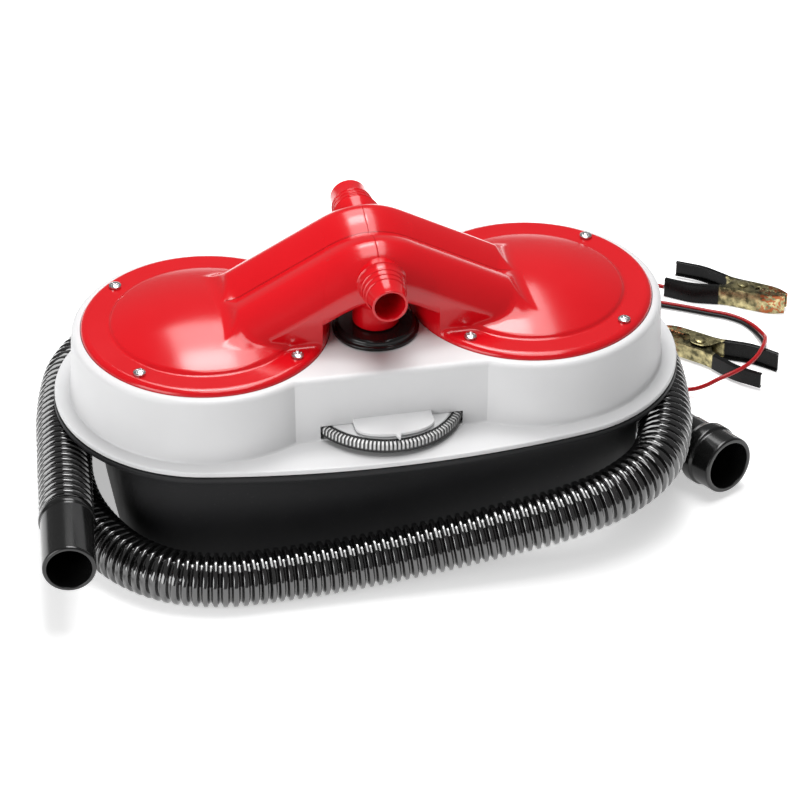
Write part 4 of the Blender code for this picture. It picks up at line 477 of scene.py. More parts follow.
def smooth_route(points, step):
    """Points at even steps along the cubic curve through a route's own points.

    Each span is the cubic that has the mean slopes of the neighbouring chords at its two ends.
    """
    route = np.array(points, float)
    chords = np.linalg.norm(np.diff(route, axis=0), axis=1)
    knots = np.concatenate([[0.0], np.cumsum(chords)])
    slopes = np.gradient(route, knots, axis=0)
    fine = np.linspace(0.0, knots[-1], 60 * len(route))
    span = np.clip(np.searchsorted(knots, fine, side="right") - 1, 0, len(chords) - 1)
    width = chords[span][:, None]
    t = (fine - knots[span])[:, None] / width
    curve = (2 * t**3 - 3 * t**2 + 1) * route[span] + (3 * t**2 - 2 * t**3) * route[span + 1]
    curve += ((t**3 - 2 * t**2 + t) * slopes[span] + (t**3 - t**2) * slopes[span + 1]) * width
    lengths = np.concatenate([[0.0], np.cumsum(np.linalg.norm(np.diff(curve, axis=0), axis=1))])
    even = np.linspace(0.0, lengths[-1], max(2, int(round(lengths[-1] / step)) + 1))
    return np.stack([np.interp(even, lengths, curve[:, axis]) for axis in range(3)], axis=1)


def length_along(points):
    """How far along a line of points each point lies."""
    steps = np.linalg.norm(np.diff(points, axis=0), axis=1)
    return np.concatenate([[0.0], np.cumsum(steps)])


def tube(points, radius, columns=12, up=(0.0, 0.0, 1.0)):
    """A ring carried along a line: p + r (cos a side + sin a lift), with side level with the floor.

    The side is the cross product of the heading and an up direction, so a line that never runs
    along that direction gets a tube that never twists.
    """
    heading = np.gradient(points, axis=0)
    heading /= np.linalg.norm(heading, axis=1, keepdims=True)
    across_line = np.cross(heading, np.asarray(up, float))
    across_line /= np.linalg.norm(across_line, axis=1, keepdims=True)
    lift = np.cross(across_line, heading)
    angle = np.linspace(0.0, TURN, columns, endpoint=False)[:, None]
    ring = np.cos(angle) * across_line[:, None] + np.sin(angle) * lift[:, None]
    return points[:, None] + np.broadcast_to(radius, len(points))[:, None, None] * ring


middle = smooth_route(HOSE_ROUTE, 1.0)
travel = length_along(middle)
ribs = round(travel[-1] / RIB_PITCH)
phase = np.array([0.0, 0.09, 0.18, 0.23, 0.33, 0.44, 0.56, 0.67, 0.77, 0.82, 0.91])
off_crown = np.minimum(phase, 1.0 - phase)
drop = 0.09 * (off_crown / 0.18) ** 2 + RIB_DEPTH * smoothstep(0.18, 0.45, off_crown)
spots = (np.arange(ribs)[:, None] + phase).ravel() * travel[-1] / (ribs - 0.09)
rows = np.stack([np.interp(spots, travel, middle[:, axis]) for axis in range(3)], axis=1)
outside = tube(rows, HOSE_RADIUS - np.tile(drop, ribs), 24)
inside = tube(rows, HOSE_BORE, 24)[np.linspace(len(rows) - 1, 0, 260).astype(int)]
hose = skin("hose_tube", np.concatenate([outside, inside, outside[:1]]), crease=38.0)
piece(hose, "body", "hose", HOSE, "hose")

# %% [markdown]
# ## The hose cuffs
# A smooth sleeve is moulded on each end of the hose. The left one is plain and the right one is
# wider, with a raised grip band behind its mouth. Both are turned profiles, pointed along the
# last stretch of the hose.

# %%
COLLAR_RADIUS, COLLAR_LENGTH, FIT = 14.9, 5.0, 0.3


def cuff(name, hose_end, before, long, radius, bore, ridge_radius):
    """A turned sleeve from its mouth back to the hose, with a band round it where it has one."""
    way = (np.array(hose_end, float) - before) / np.linalg.norm(np.subtract(hose_end, before))
    mouth = hose_end + way * long
    end, sleeve = long - FIT, long - FIT - COLLAR_LENGTH
    line = [(bore, 0.0), (radius - 0.7, 0.0), (radius, 0.8)]
    if ridge_radius > radius:
        line += [(radius, 12.6), (ridge_radius, 13.8), (ridge_radius, 19.6), (COLLAR_RADIUS, 24.0)]
    else:
        line += [(radius, sleeve), (COLLAR_RADIUS, sleeve + 1.0)]
    line += [(COLLAR_RADIUS, end - 1.0), (COLLAR_RADIUS - 1.0, end), (HOSE_BORE, end)]
    line += [(HOSE_BORE, sleeve), (bore, sleeve)]
    made = skin(name, aimed(turned(soften(line, 0.7, closed=True), steps=72), mouth, -way))
    piece(made, "body", "hose", CUFF, name.replace("cuff_piece", "hose_cuff"))
    return made


left_cuff = cuff("cuff_piece_left", HOSE_ROUTE[0], HOSE_ROUTE[1], 44.9, 14.0, 11.7, 0.0)
right_cuff = cuff("cuff_piece_right", HOSE_ROUTE[-1], HOSE_ROUTE[-2], 35.5, 16.0, 13.2, 17.2)

# %% [markdown]
# ## The leads
# Two thin wires leave the back of the case together, drop behind the hose, lie in a flat coil on
# the floor and run out to the clips. Each wire is a ring carried along its route. The routes share
# a middle line and are set apart from it sideways, half a spacing to each hand.

# %%
WIRE_RADIUS, WIRE_HALF_SPACING = 1.2, 1.45
COIL_CENTRE, COIL_OUTER, COIL_PITCH, COIL_LAYER, COIL_STEPS = (-20.0, 147.5), 34.5, 6.4, 1.75, 24
GLAND_END = (30.0, 82.8, 84.0)
LEAD_DROP = [
    (30, 90, 83.8), (30, 97.5, 80.3), (29.2, 106, 70), (28, 111.5, 55), (25.5, 113.5, 36),
    (20.5, 114, 17), (13, 114, 6), (1.5, 113.3, 1.9),
]
LEAD_RUN = [
    (12, 180, 4.2), (42, 176, 1.8), (74, 169, 1.5), (106, 160, 1.5), (136, 149.5, 1.5),
    (162, 140, 1.5), (184, 131, 1.5), (203, 121.8, 1.5), (220, 112.2, 1.5), (235.5, 103, 1.5),
]
RED_TAIL = [
    (244.5, 95, 1.5), (247.6, 86, 1.8), (247.9, 77, 4.2), (245.8, 68, 8.6), (242.6, 59, 12.4),
    (238.4, 50, 14.9), (232.6, 41.5, 15.6), (225.5, 34.6, 15.6), (216.9, 29.5, 15.4), (206.5, 28, 12.5),
    (196, 30, 6.5), (187, 37.5, 2.2), (180.5, 50.5, 1.5), (175, 70, 1.5), (172, 88, 1.5),
    (170, 104, 2.2), (168.5, 118, 4.4), (168, 131, 5.6), (170.5, 143, 5), (178.5, 149, 4.6),
    (188, 145.5, 5.6),
]
BLACK_TAIL = [(241.4, 94.6, 1.5), (244.6, 86, 1.6), (245.4, 77, 3.2), (244.8, 69, 5.4)]
RED_CLIP, BLACK_CLIP = ((247.0, 119.0), math.radians(-33.0)), ((207.0, 68.0), math.radians(138.0))


def clip_place(clip, local):
    """Points given in a clip's own frame, jaw along +X, in the object's frame."""
    (x, y), angle = clip
    c, s = math.cos(angle), math.sin(angle)
    turn = np.array([[c, -s, 0], [s, c, 0], [0, 0, 1]])
    return np.asarray(local, float) @ turn.T + (x, y, 0.0)


def coil_route():
    """A flat coil of two layers: the radius shrinks by a pitch a turn, then grows again above."""
    turns = np.arange(2 * int(COIL_STEPS * COIL_LAYER) + 1) / COIL_STEPS
    radius = COIL_OUTER - COIL_PITCH * np.minimum(turns, 2 * COIL_LAYER - turns)
    climb = np.clip((turns - COIL_LAYER + 0.25) / 0.5, 0.0, 1.0)
    angle = -math.pi / 2 - TURN * turns
    x, y = COIL_CENTRE[0] + radius * np.cos(angle), COIL_CENTRE[1] + radius * np.sin(angle)
    return np.stack([x, y, 1.4 + 3.3 * climb], axis=1)


def beside(points, offset):
    """The line shifted sideways in plan, to the left of its heading."""
    heading = np.gradient(points, axis=0)[:, :2]
    heading /= np.linalg.norm(heading, axis=1, keepdims=True)
    sideways = np.stack([-heading[:, 1], heading[:, 0], np.zeros(len(points))], axis=1)
    return points + offset * sideways


def wire_route(offset, tail, ends):
    """One wire from the gland through the drop, the coil and the run to its own tail and clip."""
    coil = coil_route()
    drop = beside(smooth_route([GLAND_END] + LEAD_DROP + [tuple(coil[0])], 10.0), offset)[:-1]
    run = beside(smooth_route([tuple(coil[-1])] + LEAD_RUN, 14.0), offset)[1:]
    parted = smooth_route([tuple(run[-1])] + tail + list(map(tuple, ends)), 8.0)[1:]
    return smooth_route(np.concatenate([drop, beside(coil, offset), run, parted]), 2.5)


gaps = (7.2, 3.6, 0.0)
red_ends = clip_place(RED_CLIP, [(-44.3 - gap, -11.0, 6.2) for gap in gaps])
black_ends = clip_place(BLACK_CLIP, [(-30.8, -12.8 - gap, 6.2) for gap in gaps])
red_line = wire_route(WIRE_HALF_SPACING, RED_TAIL, red_ends)
black_line = wire_route(-WIRE_HALF_SPACING, BLACK_TAIL, black_ends)


def wire(name, line, finish, slot, node):
    """A wire as a thin tube along its route."""
    made = skin(name, tube(line, WIRE_RADIUS), crease=60.0)
    return piece(made, "body", slot, finish, node)


red_lead = wire("lead_red_wire", red_line, RED_WIRE, "red_wire", "lead_red")
black_lead = wire("lead_black_wire", black_line, BLACK_WIRE, "black_wire", "lead_black")

# %% [markdown]
# ## The battery clips
# Each clip is two pressed channels of passivated steel on a pin, held shut by a wound spring. A
# channel is a U section carried along the bent line of the half. The depth of its two flanges
# varies along the line: shallow on the handle, deep at the pin where the flanges become ears, and
# saw-toothed along the jaw, where they meet the other half.

# %%
CLIP_LOW, CLIP_HIGH, CLIP_INSET, CLIP_SHEET = 0.2, 12.2, 1.4, 0.9
TOOTH_PITCH, TOOTH_DEPTH, GRIP_END = 2.6, 1.1, -12.0


def clip_finish():
    """Stained yellow-passivated steel, worn to copper at the jaw, with a black dip on the handles."""
    finish = Finish("clip_plated", Specular_IOR_Level=0.15)
    vinyl = finish.mark("grip")
    stain = (finish.noise(230.0, 5.0) - 0.37) * 3.2
    plated = finish.mix(stain, rgb(0.070, 0.066, 0.036), rgb(0.55, 0.48, 0.25))
    copper = finish.mark("jaw") * (finish.noise(420.0, 3.0) > 0.52) * 0.85
    worn = finish.mix(copper, plated, rgb(0.34, 0.085, 0.03))
    finish.set(Base_Color=finish.mix(vinyl, worn, grey(0.004)), Metallic=1.0 - vinyl)
    finish.set(Roughness=0.20 + finish.noise(300.0, 3.0) * 0.18)
    return finish.bump(finish.noise(900.0, 3.0), 0.00002)


PLATED = clip_finish()


def clip_half(sign, low, high, late):
    """One channel: a U section of sheet carried along the half's bent line.

    At each row the section's points are p + depth inward + z upright. The flange depth is
    2.3 mm on the handle, grows to an ear by exp(-(x / 7)^4) at the pin, and follows the middle
    of the clip with a triangle wave along the jaw.
    """
    bend = [(-44, 11), (-27.28, 11.8), (-7.92, 6.5), (6.48, 6.5), (18.72, 6.1), (26, 2.3)]
    line = soften(bend, 5.0, 7)
    along_line = length_along(line)
    even = np.linspace(0.0, along_line[-1], 150)
    x, y = np.interp(even, along_line, line[:, 0]), np.interp(even, along_line, line[:, 1])
    slope = np.gradient(np.stack([x, y], axis=1), axis=0)
    slope /= np.linalg.norm(slope, axis=1, keepdims=True)
    inward = np.stack([slope[:, 1], -slope[:, 0]], axis=1)
    tooth = TOOTH_DEPTH * np.abs(2 * ((x / TOOTH_PITCH + late) % 1.0) - 1.0)
    handle = 2.3 + 0.7 * smoothstep(-40.0, -24.0, x) + 8.6 * np.exp(-((x / 7.2) ** 4))
    jaw = np.maximum(y + CLIP_SHEET / 2 - 0.15 - tooth * smoothstep(25.8, 24.5, x), 1.3)
    depth = handle + (jaw - handle) * smoothstep(8.0, 11.5, x)
    outer = CLIP_SHEET / 2 + 0.25 * smoothstep(GRIP_END + 0.6, GRIP_END - 0.6, x)
    t = CLIP_SHEET
    template = soften([(0, 1), (0, 0), (1, 0), (1, 1), (1 - 0.075, 1), (1 - 0.075, 0.5),
                       (0.075, 0.5), (0.075, 1)], 0.035, 4, closed=True)[:-1]
    share, kind = template[:, 0], template[:, 1]
    flange = t + (kind[None] - 0.5) * 2 * (depth[:, None] - t)
    deep = np.where(kind[None] <= 0.5, kind[None] * 2 * t, flange)
    reach = deep - outer[:, None]
    grid_x = x[:, None] + inward[:, :1] * reach
    grid_y = y[:, None] + inward[:, 1:] * reach
    grid_z = low + (high - low) * share[None] + 0.0 * reach
    return np.stack([grid_x, sign * grid_y, grid_z], axis=-1)


def spiral(radius, low, high, wire_radius, turns, centre=(0.0, 0.0)):
    """A wound spring: a thin ring carried along a helix of so many turns."""
    t = np.linspace(0.0, 1.0, int(turns * 36))
    angle = TURN * turns * t
    x, y = centre[0] + radius * np.cos(angle), centre[1] + radius * np.sin(angle)
    line = np.stack([x, y, low + wire_radius + (high - low - 2 * wire_radius) * t], axis=1)
    return tube(line, wire_radius, 10)


def clip(label, spot):
    """Both halves, the rivet and the spring of one clip, each on its own body."""
    pin = [(0, 0.35), (2.0, 0.35), (2.0, 12.1), (3.4, 12.25), (3.2, 12.9), (1.6, 13.2), (0, 13.2)]
    shapes = [clip_half(-1, CLIP_LOW, CLIP_HIGH, 0.0), turned(soften(pin, 0.4), steps=40)]
    jaw = skin(f"{label}_jaw", *[clip_place(spot, grid) for grid in shapes], crease=40.0)
    lever_grid = clip_half(1, CLIP_LOW + CLIP_INSET, CLIP_HIGH - CLIP_INSET, 0.5)
    lever = skin(f"{label}_lever", clip_place(spot, lever_grid), crease=40.0)
    low, high = CLIP_LOW + CLIP_INSET + 1.3, CLIP_HIGH - CLIP_INSET - 1.3
    coil = skin(f"{label}_spring", clip_place(spot, spiral(3.6, low, high, 0.5, 3.0)), crease=60.0)
    (px, py), angle = spot

    def ahead(points):
        """The local x of each point, from the pin towards the jaw."""
        return (points[:, 0] - px) * math.cos(angle) + (points[:, 1] - py) * math.sin(angle)

    for half in (jaw, lever):
        paint(half, "grip", lambda points: smoothstep(GRIP_END + 0.3, GRIP_END - 0.3, ahead(points)))
        paint(half, "jaw", lambda points: smoothstep(9.0, 15.0, ahead(points)))
    piece(jaw, "body", "plated", PLATED, f"{label}_clip_jaw")
    piece(lever, f"{label}_lever", "plated", PLATED, f"{label}_clip_lever")
    piece(coil, "body", "steel", STEEL, f"{label}_clip_spring")
    return jaw, lever, coil


red_clip = clip("red", RED_CLIP)
black_clip = clip("black", BLACK_CLIP)

# %% [markdown]
# ## The cords
# The hose and the two leads are free: they can be laid another way.

# %%
print("three cords: the hose and two leads")

# %% [markdown]
# ## Outlines of the tub and the case
# Seen from above, the flange is two round ends joined by gently bowed sides, and the case is two
# circles joined by a straight bridge. Both outlines are arcs worked out as arrays, and an offset
# moves each outline in or out by the same distance all round.

# %%
END_RADIUS, FLANGE_HALF_WIDTH, SIDE_RADIUS = 81.0, 89.3, 551.7
CASE_RADIUS, BRIDGE_HALF_WIDTH = 71.0, 61.0


def arc(centre, radius, start, stop, steps):
    """Points centre + radius (cos a, sin a) from one angle to another, without the last one."""
    angle = np.linspace(start, stop, steps, endpoint=False)
    return np.stack([centre[0] + radius * np.cos(angle), centre[1] + radius * np.sin(angle)], axis=1)


def racetrack(offset, ends=72, sides=44):
    """The flange's outline: two end arcs and two long side arcs that share their tangents."""
    reach = SIDE_RADIUS - FLANGE_HALF_WIDTH
    lean = math.atan2(HALF_SPACING, reach)
    quarter, half = math.pi / 2, math.pi
    return np.concatenate([
        arc((HALF_SPACING, 0.0), END_RADIUS + offset, lean - quarter, quarter - lean, ends),
        arc((0.0, -reach), SIDE_RADIUS + offset, quarter - lean, quarter + lean, sides),
        arc((-HALF_SPACING, 0.0), END_RADIUS + offset, quarter + lean, half + quarter - lean, ends),
        arc((0.0, reach), SIDE_RADIUS + offset, half + quarter - lean, half + quarter + lean, sides),
    ])


def case_outline(offset, ends=120, sides=12):
    """The case's outline: two circles cut by the two straight sides of the bridge."""
    radius, half = CASE_RADIUS + offset, BRIDGE_HALF_WIDTH + offset
    opening = math.pi - math.asin(half / radius)
    right = arc((HALF_SPACING, 0.0), radius, -opening, opening, ends)
    corner = HALF_SPACING + radius * math.cos(opening)
    x = np.linspace(corner, -corner, sides, endpoint=False)
    top = np.stack([x, np.full(sides, half)], axis=1)
    return np.concatenate([right, top, -right, -top])


def raised(outline, z):
    """An outline in plan lifted to a height."""
    return np.concatenate([outline, np.full((len(outline), 1), float(z))], axis=1)


print("outlines of", len(racetrack(0.0)), "and", len(case_outline(0.0)), "points")

# %% [markdown]
# ## The tub
# The black tub is a deep tray. Its foot is a rounded oblong, and a hollow cove under its lip leaves
# room for the hose. Each ring of the surface lies between the oblong and the flange's outline:
# the share that it takes from the flange's outline grows as a cosine up the cove. The holes for the
# four screws that hold the case down are cut from below.

# %%
TUB_HALF = (141.0, 79.0)
TUB_POWER, COVE_Z, COVE_HEIGHT, COVE_SHARE = 4.6, 44.1, 16.5, 0.7
SCREW_SPOTS = [(x, y) for x in (-52.0, 52.0) for y in (-48.0, 48.0)]


def tub_ring(inset, z, share=0.0):
    """One ring: the flange's outline drawn in to |x/a|^n + |y/b|^n = 1, or only a share of the way."""
    line = racetrack(-1.5 - inset)
    size = np.abs(line) / (np.array(TUB_HALF) - inset)
    scale = (size**TUB_POWER).sum(axis=1, keepdims=True) ** (-1.0 / TUB_POWER)
    return raised(line * (scale + (1.0 - scale) * share), z)


def tub_rows():
    """Rings from under the tub, round its foot, up the cove and over the lip, and down inside."""
    foot = [(2.5 * (1 - math.sin(a)), 5.8 - 2.5 * math.cos(a)) for a in np.linspace(0, math.pi / 2, 6)]
    outer = [tub_ring(inset, z) for inset, z in [(14.0, 3.3), (4.0, 3.3)] + foot]
    outer += [tub_ring(0.0, z) for z in (12.0, 24.0, 36.0)]
    for a in np.linspace(0.0, math.pi / 2, 18):
        outer.append(tub_ring(0.0, COVE_Z + COVE_HEIGHT * math.sin(a), COVE_SHARE * (1 - math.cos(a))))
    lip = [(1.6, 60.6), (-1.2, 60.7), (-1.8, 61.1), (-2.0, 61.7), (-2.0, 63.2), (-1.8, 63.8),
           (-1.3, 64.2), (3.0, 64.2)]
    outer += [tub_ring(inset, z, 1.0) for inset, z in lip]
    for a in np.linspace(math.pi / 2, 0.0, 8):
        outer.append(tub_ring(3.0, COVE_Z + 19.0 * math.sin(a), COVE_SHARE * (1 - math.cos(a))))
    return np.stack(outer + [tub_ring(3.0, 6.0)])


post = [(0.0, 5.0), (7.5, 5.0), (7.5, 69.4), (0.0, 69.4)]
tub = skin("tub", tub_rows(), turned(post, (0.0, -42.0), 40), crease=30.0)
pegs = [turned([(0.0, 5.0), (4.8, 5.0), (4.8, 63.6), (0.0, 63.6)], spot, 32) for spot in SCREW_SPOTS]
tub = carve(tub, skin("pegs", *pegs), "UNION")
holes = [turned([(0.0, 1.0), (3.8, 1.0), (3.8, 11.3), (0.0, 11.3)], spot, 40) for spot in SCREW_SPOTS]
tub = carve(tub, skin("holes", *holes))
piece(tub, "body", "black_gloss", TUB, "base_tub")

# %% [markdown]
# Four rubber feet are pressed on the tub's floor. Each is a shallow turned disc with a hollow sole.

# %%
FOOT_SPOTS = [(x, y) for x in (-101.0, 101.0) for y in (-33.0, 33.0)]
sole = [(0.0, 0.7), (5.2, 0.7), (6.0, 0.0), (8.2, 0.0), (9.0, 0.9), (8.8, 2.3), (8.0, 3.0), (0.0, 3.0)]
for i, spot in enumerate(FOOT_SPOTS):
    foot = skin(f"foot_piece_{i + 1}", turned(soften(sole, 0.5), spot, 48))
    piece(foot, "body", "rubber", RUBBER, f"foot_{i + 1}")

# %% [markdown]
# ## The case
# The white case is one moulding: a thin flange and two round chambers joined by a bridge. The
# flange and the wall are two outlines lofted through small fillets and joined. The seats of the
# lids, the dial's slot and the capsule's hole are then cut, because a loft can't give them. The
# ledge over the dial is a crowned outline with a short point in the middle.

# %%
FLANGE_LEVELS = [(-8.0, 64.5), (-0.5, 64.5), (0.0, 65.0), (0.0, 67.0), (-0.5, 67.5), (-2.0, 67.5)]
WALL_LEVELS = [(1.5, 66.0), (2.5, 67.3), (1.8, 67.8), (1.5, 68.6), (0.8, 84.0), (0.0, 101.8)]


def rim_levels(radius=3.2, top=105.0):
    """The rounded edge at the top of the wall, as (offset, height) from upright to level."""
    angle = np.linspace(0.15, math.pi / 2, 7)
    return [(radius * (math.cos(a) - 1), top - radius * (1 - math.sin(a))) for a in angle]


plate_line = soften(FLANGE_LEVELS, 0.7)
plate = skin("case", np.stack([raised(racetrack(o), z) for o, z in plate_line]))
wall_line = np.concatenate([soften(WALL_LEVELS, 0.9), rim_levels(), [(-4.2, 105.0)]])
wall = skin("wall", np.stack([raised(case_outline(o), z) for o, z in wall_line]))
case = carve(plate, wall, "UNION")
print("case wall joined:", len(case.data.polygons), "faces")


def ledge_outline():
    """Half the ledge is a straight side, a quarter of an ellipse and a short point; mirrored."""
    t = np.linspace(0.0, 0.95, 26)
    crown = np.stack([-21.0 * np.cos(math.pi * t / 2), -70.0 - 9.4 * np.sin(math.pi * t / 2)], axis=1)
    left = np.concatenate([[(-21.0, -59.5), (-21.0, -66.0)], crown])
    tip = [(-1.1, -80.6), (-0.4, -82.9), (0.4, -82.9), (1.1, -80.6)]
    return np.concatenate([left, tip, left[::-1] * (-1, 1)])


def shrunk(outline, inset):
    """The outline moved in by an inset along the mean of its neighbouring normals."""
    along_line = np.roll(outline, -1, axis=0) - np.roll(outline, 1, axis=0)
    normal = np.stack([-along_line[:, 1], along_line[:, 0]], axis=1)
    return outline + inset * normal / np.linalg.norm(normal, axis=1, keepdims=True)


ledge = ledge_outline()
levels = [(0.4, 76.9), (0.0, 77.1), (0.0, 78.3), (0.15, 78.6), (0.5, 78.7)]
canopy = skin("canopy", np.stack([raised(shrunk(ledge, inset), z) for inset, z in levels]))
case = carve(case, canopy, "UNION")


def box_grid(x, y, z):
    """A box as two rings of four corners."""
    ring = [(x[0], y[0]), (x[1], y[0]), (x[1], y[1]), (x[0], y[1])]
    return np.stack([raised(np.array(ring, float), height) for height in z])


cavity = np.stack([raised(case_outline(o), z) for o, z in ((-1.5, 60.0), (-3.0, 91.95))])
case = carve(case, skin("cavity", cavity))
seat = [(0.0, 91.0), (48.0, 91.0), (48.0, 95.95), (55.3, 95.95), (55.3, 102.0), (66.3, 102.0),
        (66.3, 110.0), (0.0, 110.0)]
for side_x in (-HALF_SPACING, HALF_SPACING):
    case = carve(case, skin("seat", turned(seat, (side_x, 0.0), 160)))
case = carve(case, skin("room", box_grid((-19.0, 19.0), (-58.0, 58.0), (90.0, 101.5))))
slot_line = [(0.0, 68.1), (43.2, 68.1), (43.2, 76.1), (0.0, 76.1)]
case = carve(case, skin("slot", turned(slot_line, (0.0, -42.0), 160)))
deck_line = [(0.0, 95.0), (13.8, 95.0), (13.8, 110.0), (0.0, 110.0)]
case = carve(case, skin("deck", turned(deck_line, (0.0, -19.0), 72)))
piece(case, "body", "white", WHITE, "upper_case")

# %% [markdown]
# ## The covers
# Each cover is a flat lid with a low dome, and a twin-ridged arm that climbs from the dome to the
# top of the arch. On the real moulding the arm flows into the lid through fillets, which no single
# loft gives. So the cover is described by a formula that is negative inside it: the lid, the dome
# and the arm are three such formulas, and a smooth minimum joins them with a fillet. The surface is
# then found on a grid of two parameters, the turn about the lid's axis and the tilt of a ray from a
# point below it, by halving the step along all the rays at once.

# %%
LID_RADIUS, LID_TOP, LID_BEVEL, LID_LOW = 66.0, 108.0, 3.7, 102.3
DOME_TOP, DOME_RADIUS, DOME_EDGE = 118.5, 143.4, 50.4
ARM_APEX, ARM_SLOPE, ARM_BLEND = 139.5, 0.545, 22.0
RIDGE_MIDDLE, RIDGE_HEIGHT, RIDGE_POWER, GROOVE_DEPTH = 17.0, 19.0, 1.6, 5.5
ARM_BELLY, SEAM = 10.0, 0.06
EYE = np.array((HALF_SPACING, 0.0, 70.0))


def crest(share):
    """Height of the arm's top from the groove (0) to the middle of a ridge (1): a V with round tops."""
    return RIDGE_HEIGHT - GROOVE_DEPTH * np.maximum(1.0 - share, 0.0) ** 1.7


def arm_axis(x):
    """Height of the arm's axis: straight at its slope, with a parabola over the top of the arch."""
    bend = ARM_SLOPE * x**2 / (2 * ARM_BLEND)
    return ARM_APEX - np.where(x < ARM_BLEND, bend, ARM_SLOPE * (x - ARM_BLEND / 2))


def smooth_least(a, b, reach):
    """The lesser of two numbers, rounded off where they differ by less than a reach."""
    share = np.clip(0.5 + 0.5 * (b - a) / reach, 0.0, 1.0)
    return b + (a - b) * share - reach * share * (1.0 - share)


def cover_field(x, y, z):
    """Negative inside the cover, positive outside, and nearly the distance near its surface."""
    r = np.hypot(x - HALF_SPACING, y)
    bevel = np.clip((r - LID_RADIUS + LID_BEVEL) / LID_BEVEL, 0.0, 1.0)
    lid = z - LID_TOP + 3.0 * (1.0 - np.sqrt(1.0 - bevel**2))
    dome = z - DOME_TOP + DOME_RADIUS - np.sqrt(DOME_RADIUS**2 - np.minimum(r, 100.0) ** 2)
    dome = -smooth_least(-dome, DOME_EDGE - r, 1.6)
    shell = smooth_least(lid, dome, 1.6)
    up, reach = z - arm_axis(x), np.abs(y)
    outer = np.maximum(reach - RIDGE_MIDDLE, 0.0) / RIDGE_MIDDLE
    power = outer**RIDGE_POWER + (np.maximum(up, 0.0) / RIDGE_HEIGHT) ** RIDGE_POWER
    bulge = (power ** (1.0 / RIDGE_POWER) - 1.0) * RIDGE_MIDDLE
    section = np.where(reach > RIDGE_MIDDLE, bulge, (up - crest(reach / RIDGE_MIDDLE)) * 0.9)
    facet = (x - 74.0) * 0.80 + (up - RIDGE_HEIGHT) * 0.60
    arm = -smooth_least(-section, -facet, 1.2)
    return smooth_least(shell, arm, 3.2 + 4.0 * smoothstep(66.0, 76.0, x))


def lid_field(x, y, z):
    """The cover's formula inside the lid's own cylinder, which cuts the arm off inside the bridge."""
    return np.maximum(cover_field(x, y, z), np.hypot(x - HALF_SPACING, y) - LID_RADIUS)


def halve(inside, outside, field):
    """Where a field changes sign between two arrays of places, by 40 halvings of every span."""
    low, high = np.zeros(inside.shape[:-1]), np.ones(inside.shape[:-1])
    for _ in range(40):
        middle = 0.5 * (low + high)
        place = inside + (outside - inside) * middle[..., None]
        is_inside = field(*np.moveaxis(place, -1, 0)) < 0.0
        low, high = np.where(is_inside, middle, low), np.where(is_inside, high, middle)
    return inside + (outside - inside) * low[..., None]


def turns_about_lid(count):
    """Angles about the lid's axis, closer together across the arm and closest at its two sides."""
    angle = np.linspace(0.0, TURN, 7200)
    off = np.degrees(np.abs(angle - math.pi))
    density = 1.0 + 2.0 * (off < 50.0) + 9.0 * np.exp(-(((off - 31.0) / 3.5) ** 2))
    total = np.concatenate([[0.0], np.cumsum(density[1:])])
    return np.interp(np.linspace(0.0, total[-1], count, endpoint=False), total, angle)


def lid_grid(count=440, tilts=150):
    """The right-hand lid with its part of the arm: rings of rays, then the edge and the underside."""
    angle = turns_about_lid(count)
    widest = math.atan2(LID_RADIUS, LID_TOP - LID_BEVEL - EYE[2])
    tilt = np.linspace(0.0, widest, tilts)[:, None] + 0.0 * angle
    ray = np.stack([np.sin(tilt) * np.cos(angle), np.sin(tilt) * np.sin(angle), np.cos(tilt)], axis=-1)
    top = halve(EYE + 20.0 * ray, EYE + 140.0 * ray, lid_field)
    foot_ring = top[-1] * (1.0, 1.0, 0.0) + (0.0, 0.0, LID_LOW)
    return np.concatenate([top, foot_ring[None]])


def bridge_grid():
    """The arm beyond the lid's edge: the same section, carried from the seam to that edge."""
    a = np.linspace(0.0, math.pi / 2, 22)
    wide, tall = np.cos(a) ** (2 / RIDGE_POWER), np.sin(a) ** (2 / RIDGE_POWER)
    outer = np.stack([RIDGE_MIDDLE + RIDGE_MIDDLE * wide, RIDGE_HEIGHT * tall], axis=1)
    s = np.linspace(1.0, 0.0, 18)[1:]
    inner = np.stack([RIDGE_MIDDLE * s, crest(s)], axis=1)
    half = np.concatenate([outer, inner])
    top = np.concatenate([half, half[-2::-1] * (-1, 1)])
    belly = soften([(-34.0, 0.0), (-34.0, -ARM_BELLY), (34.0, -ARM_BELLY), (34.0, 0.0)], 4.0, 7)[1:-1]
    section = np.concatenate([top, belly])
    y, up = section.T
    end = HALF_SPACING - np.sqrt(LID_RADIUS**2 - y**2) + 0.02
    share = np.concatenate([[0.0, 0.012, 0.03], np.linspace(0.06, 1.0, 26), [1.08]])[:, None]
    x = SEAM + share * (end - SEAM)
    inset = 0.1 * np.clip(1.0 - share / 0.03, 0.0, 1.0) ** 2 + 0.02 * (share > 1.0)
    size = 1.0 - inset / 34.0
    return np.stack([x, y * size, arm_axis(x) + up * (1.0 - inset / RIDGE_HEIGHT)], axis=-1)


def on_dome(points):
    """1 on the smooth top of a dome, away from the arm."""
    r = np.hypot(np.abs(points[:, 0]) - HALF_SPACING, points[:, 1])
    dome = DOME_TOP - DOME_RADIUS + np.sqrt(DOME_RADIUS**2 - np.minimum(r, 100) ** 2)
    return smoothstep(50.0, 49.0, r) * smoothstep(0.6, 0.2, np.abs(points[:, 2] - dome))


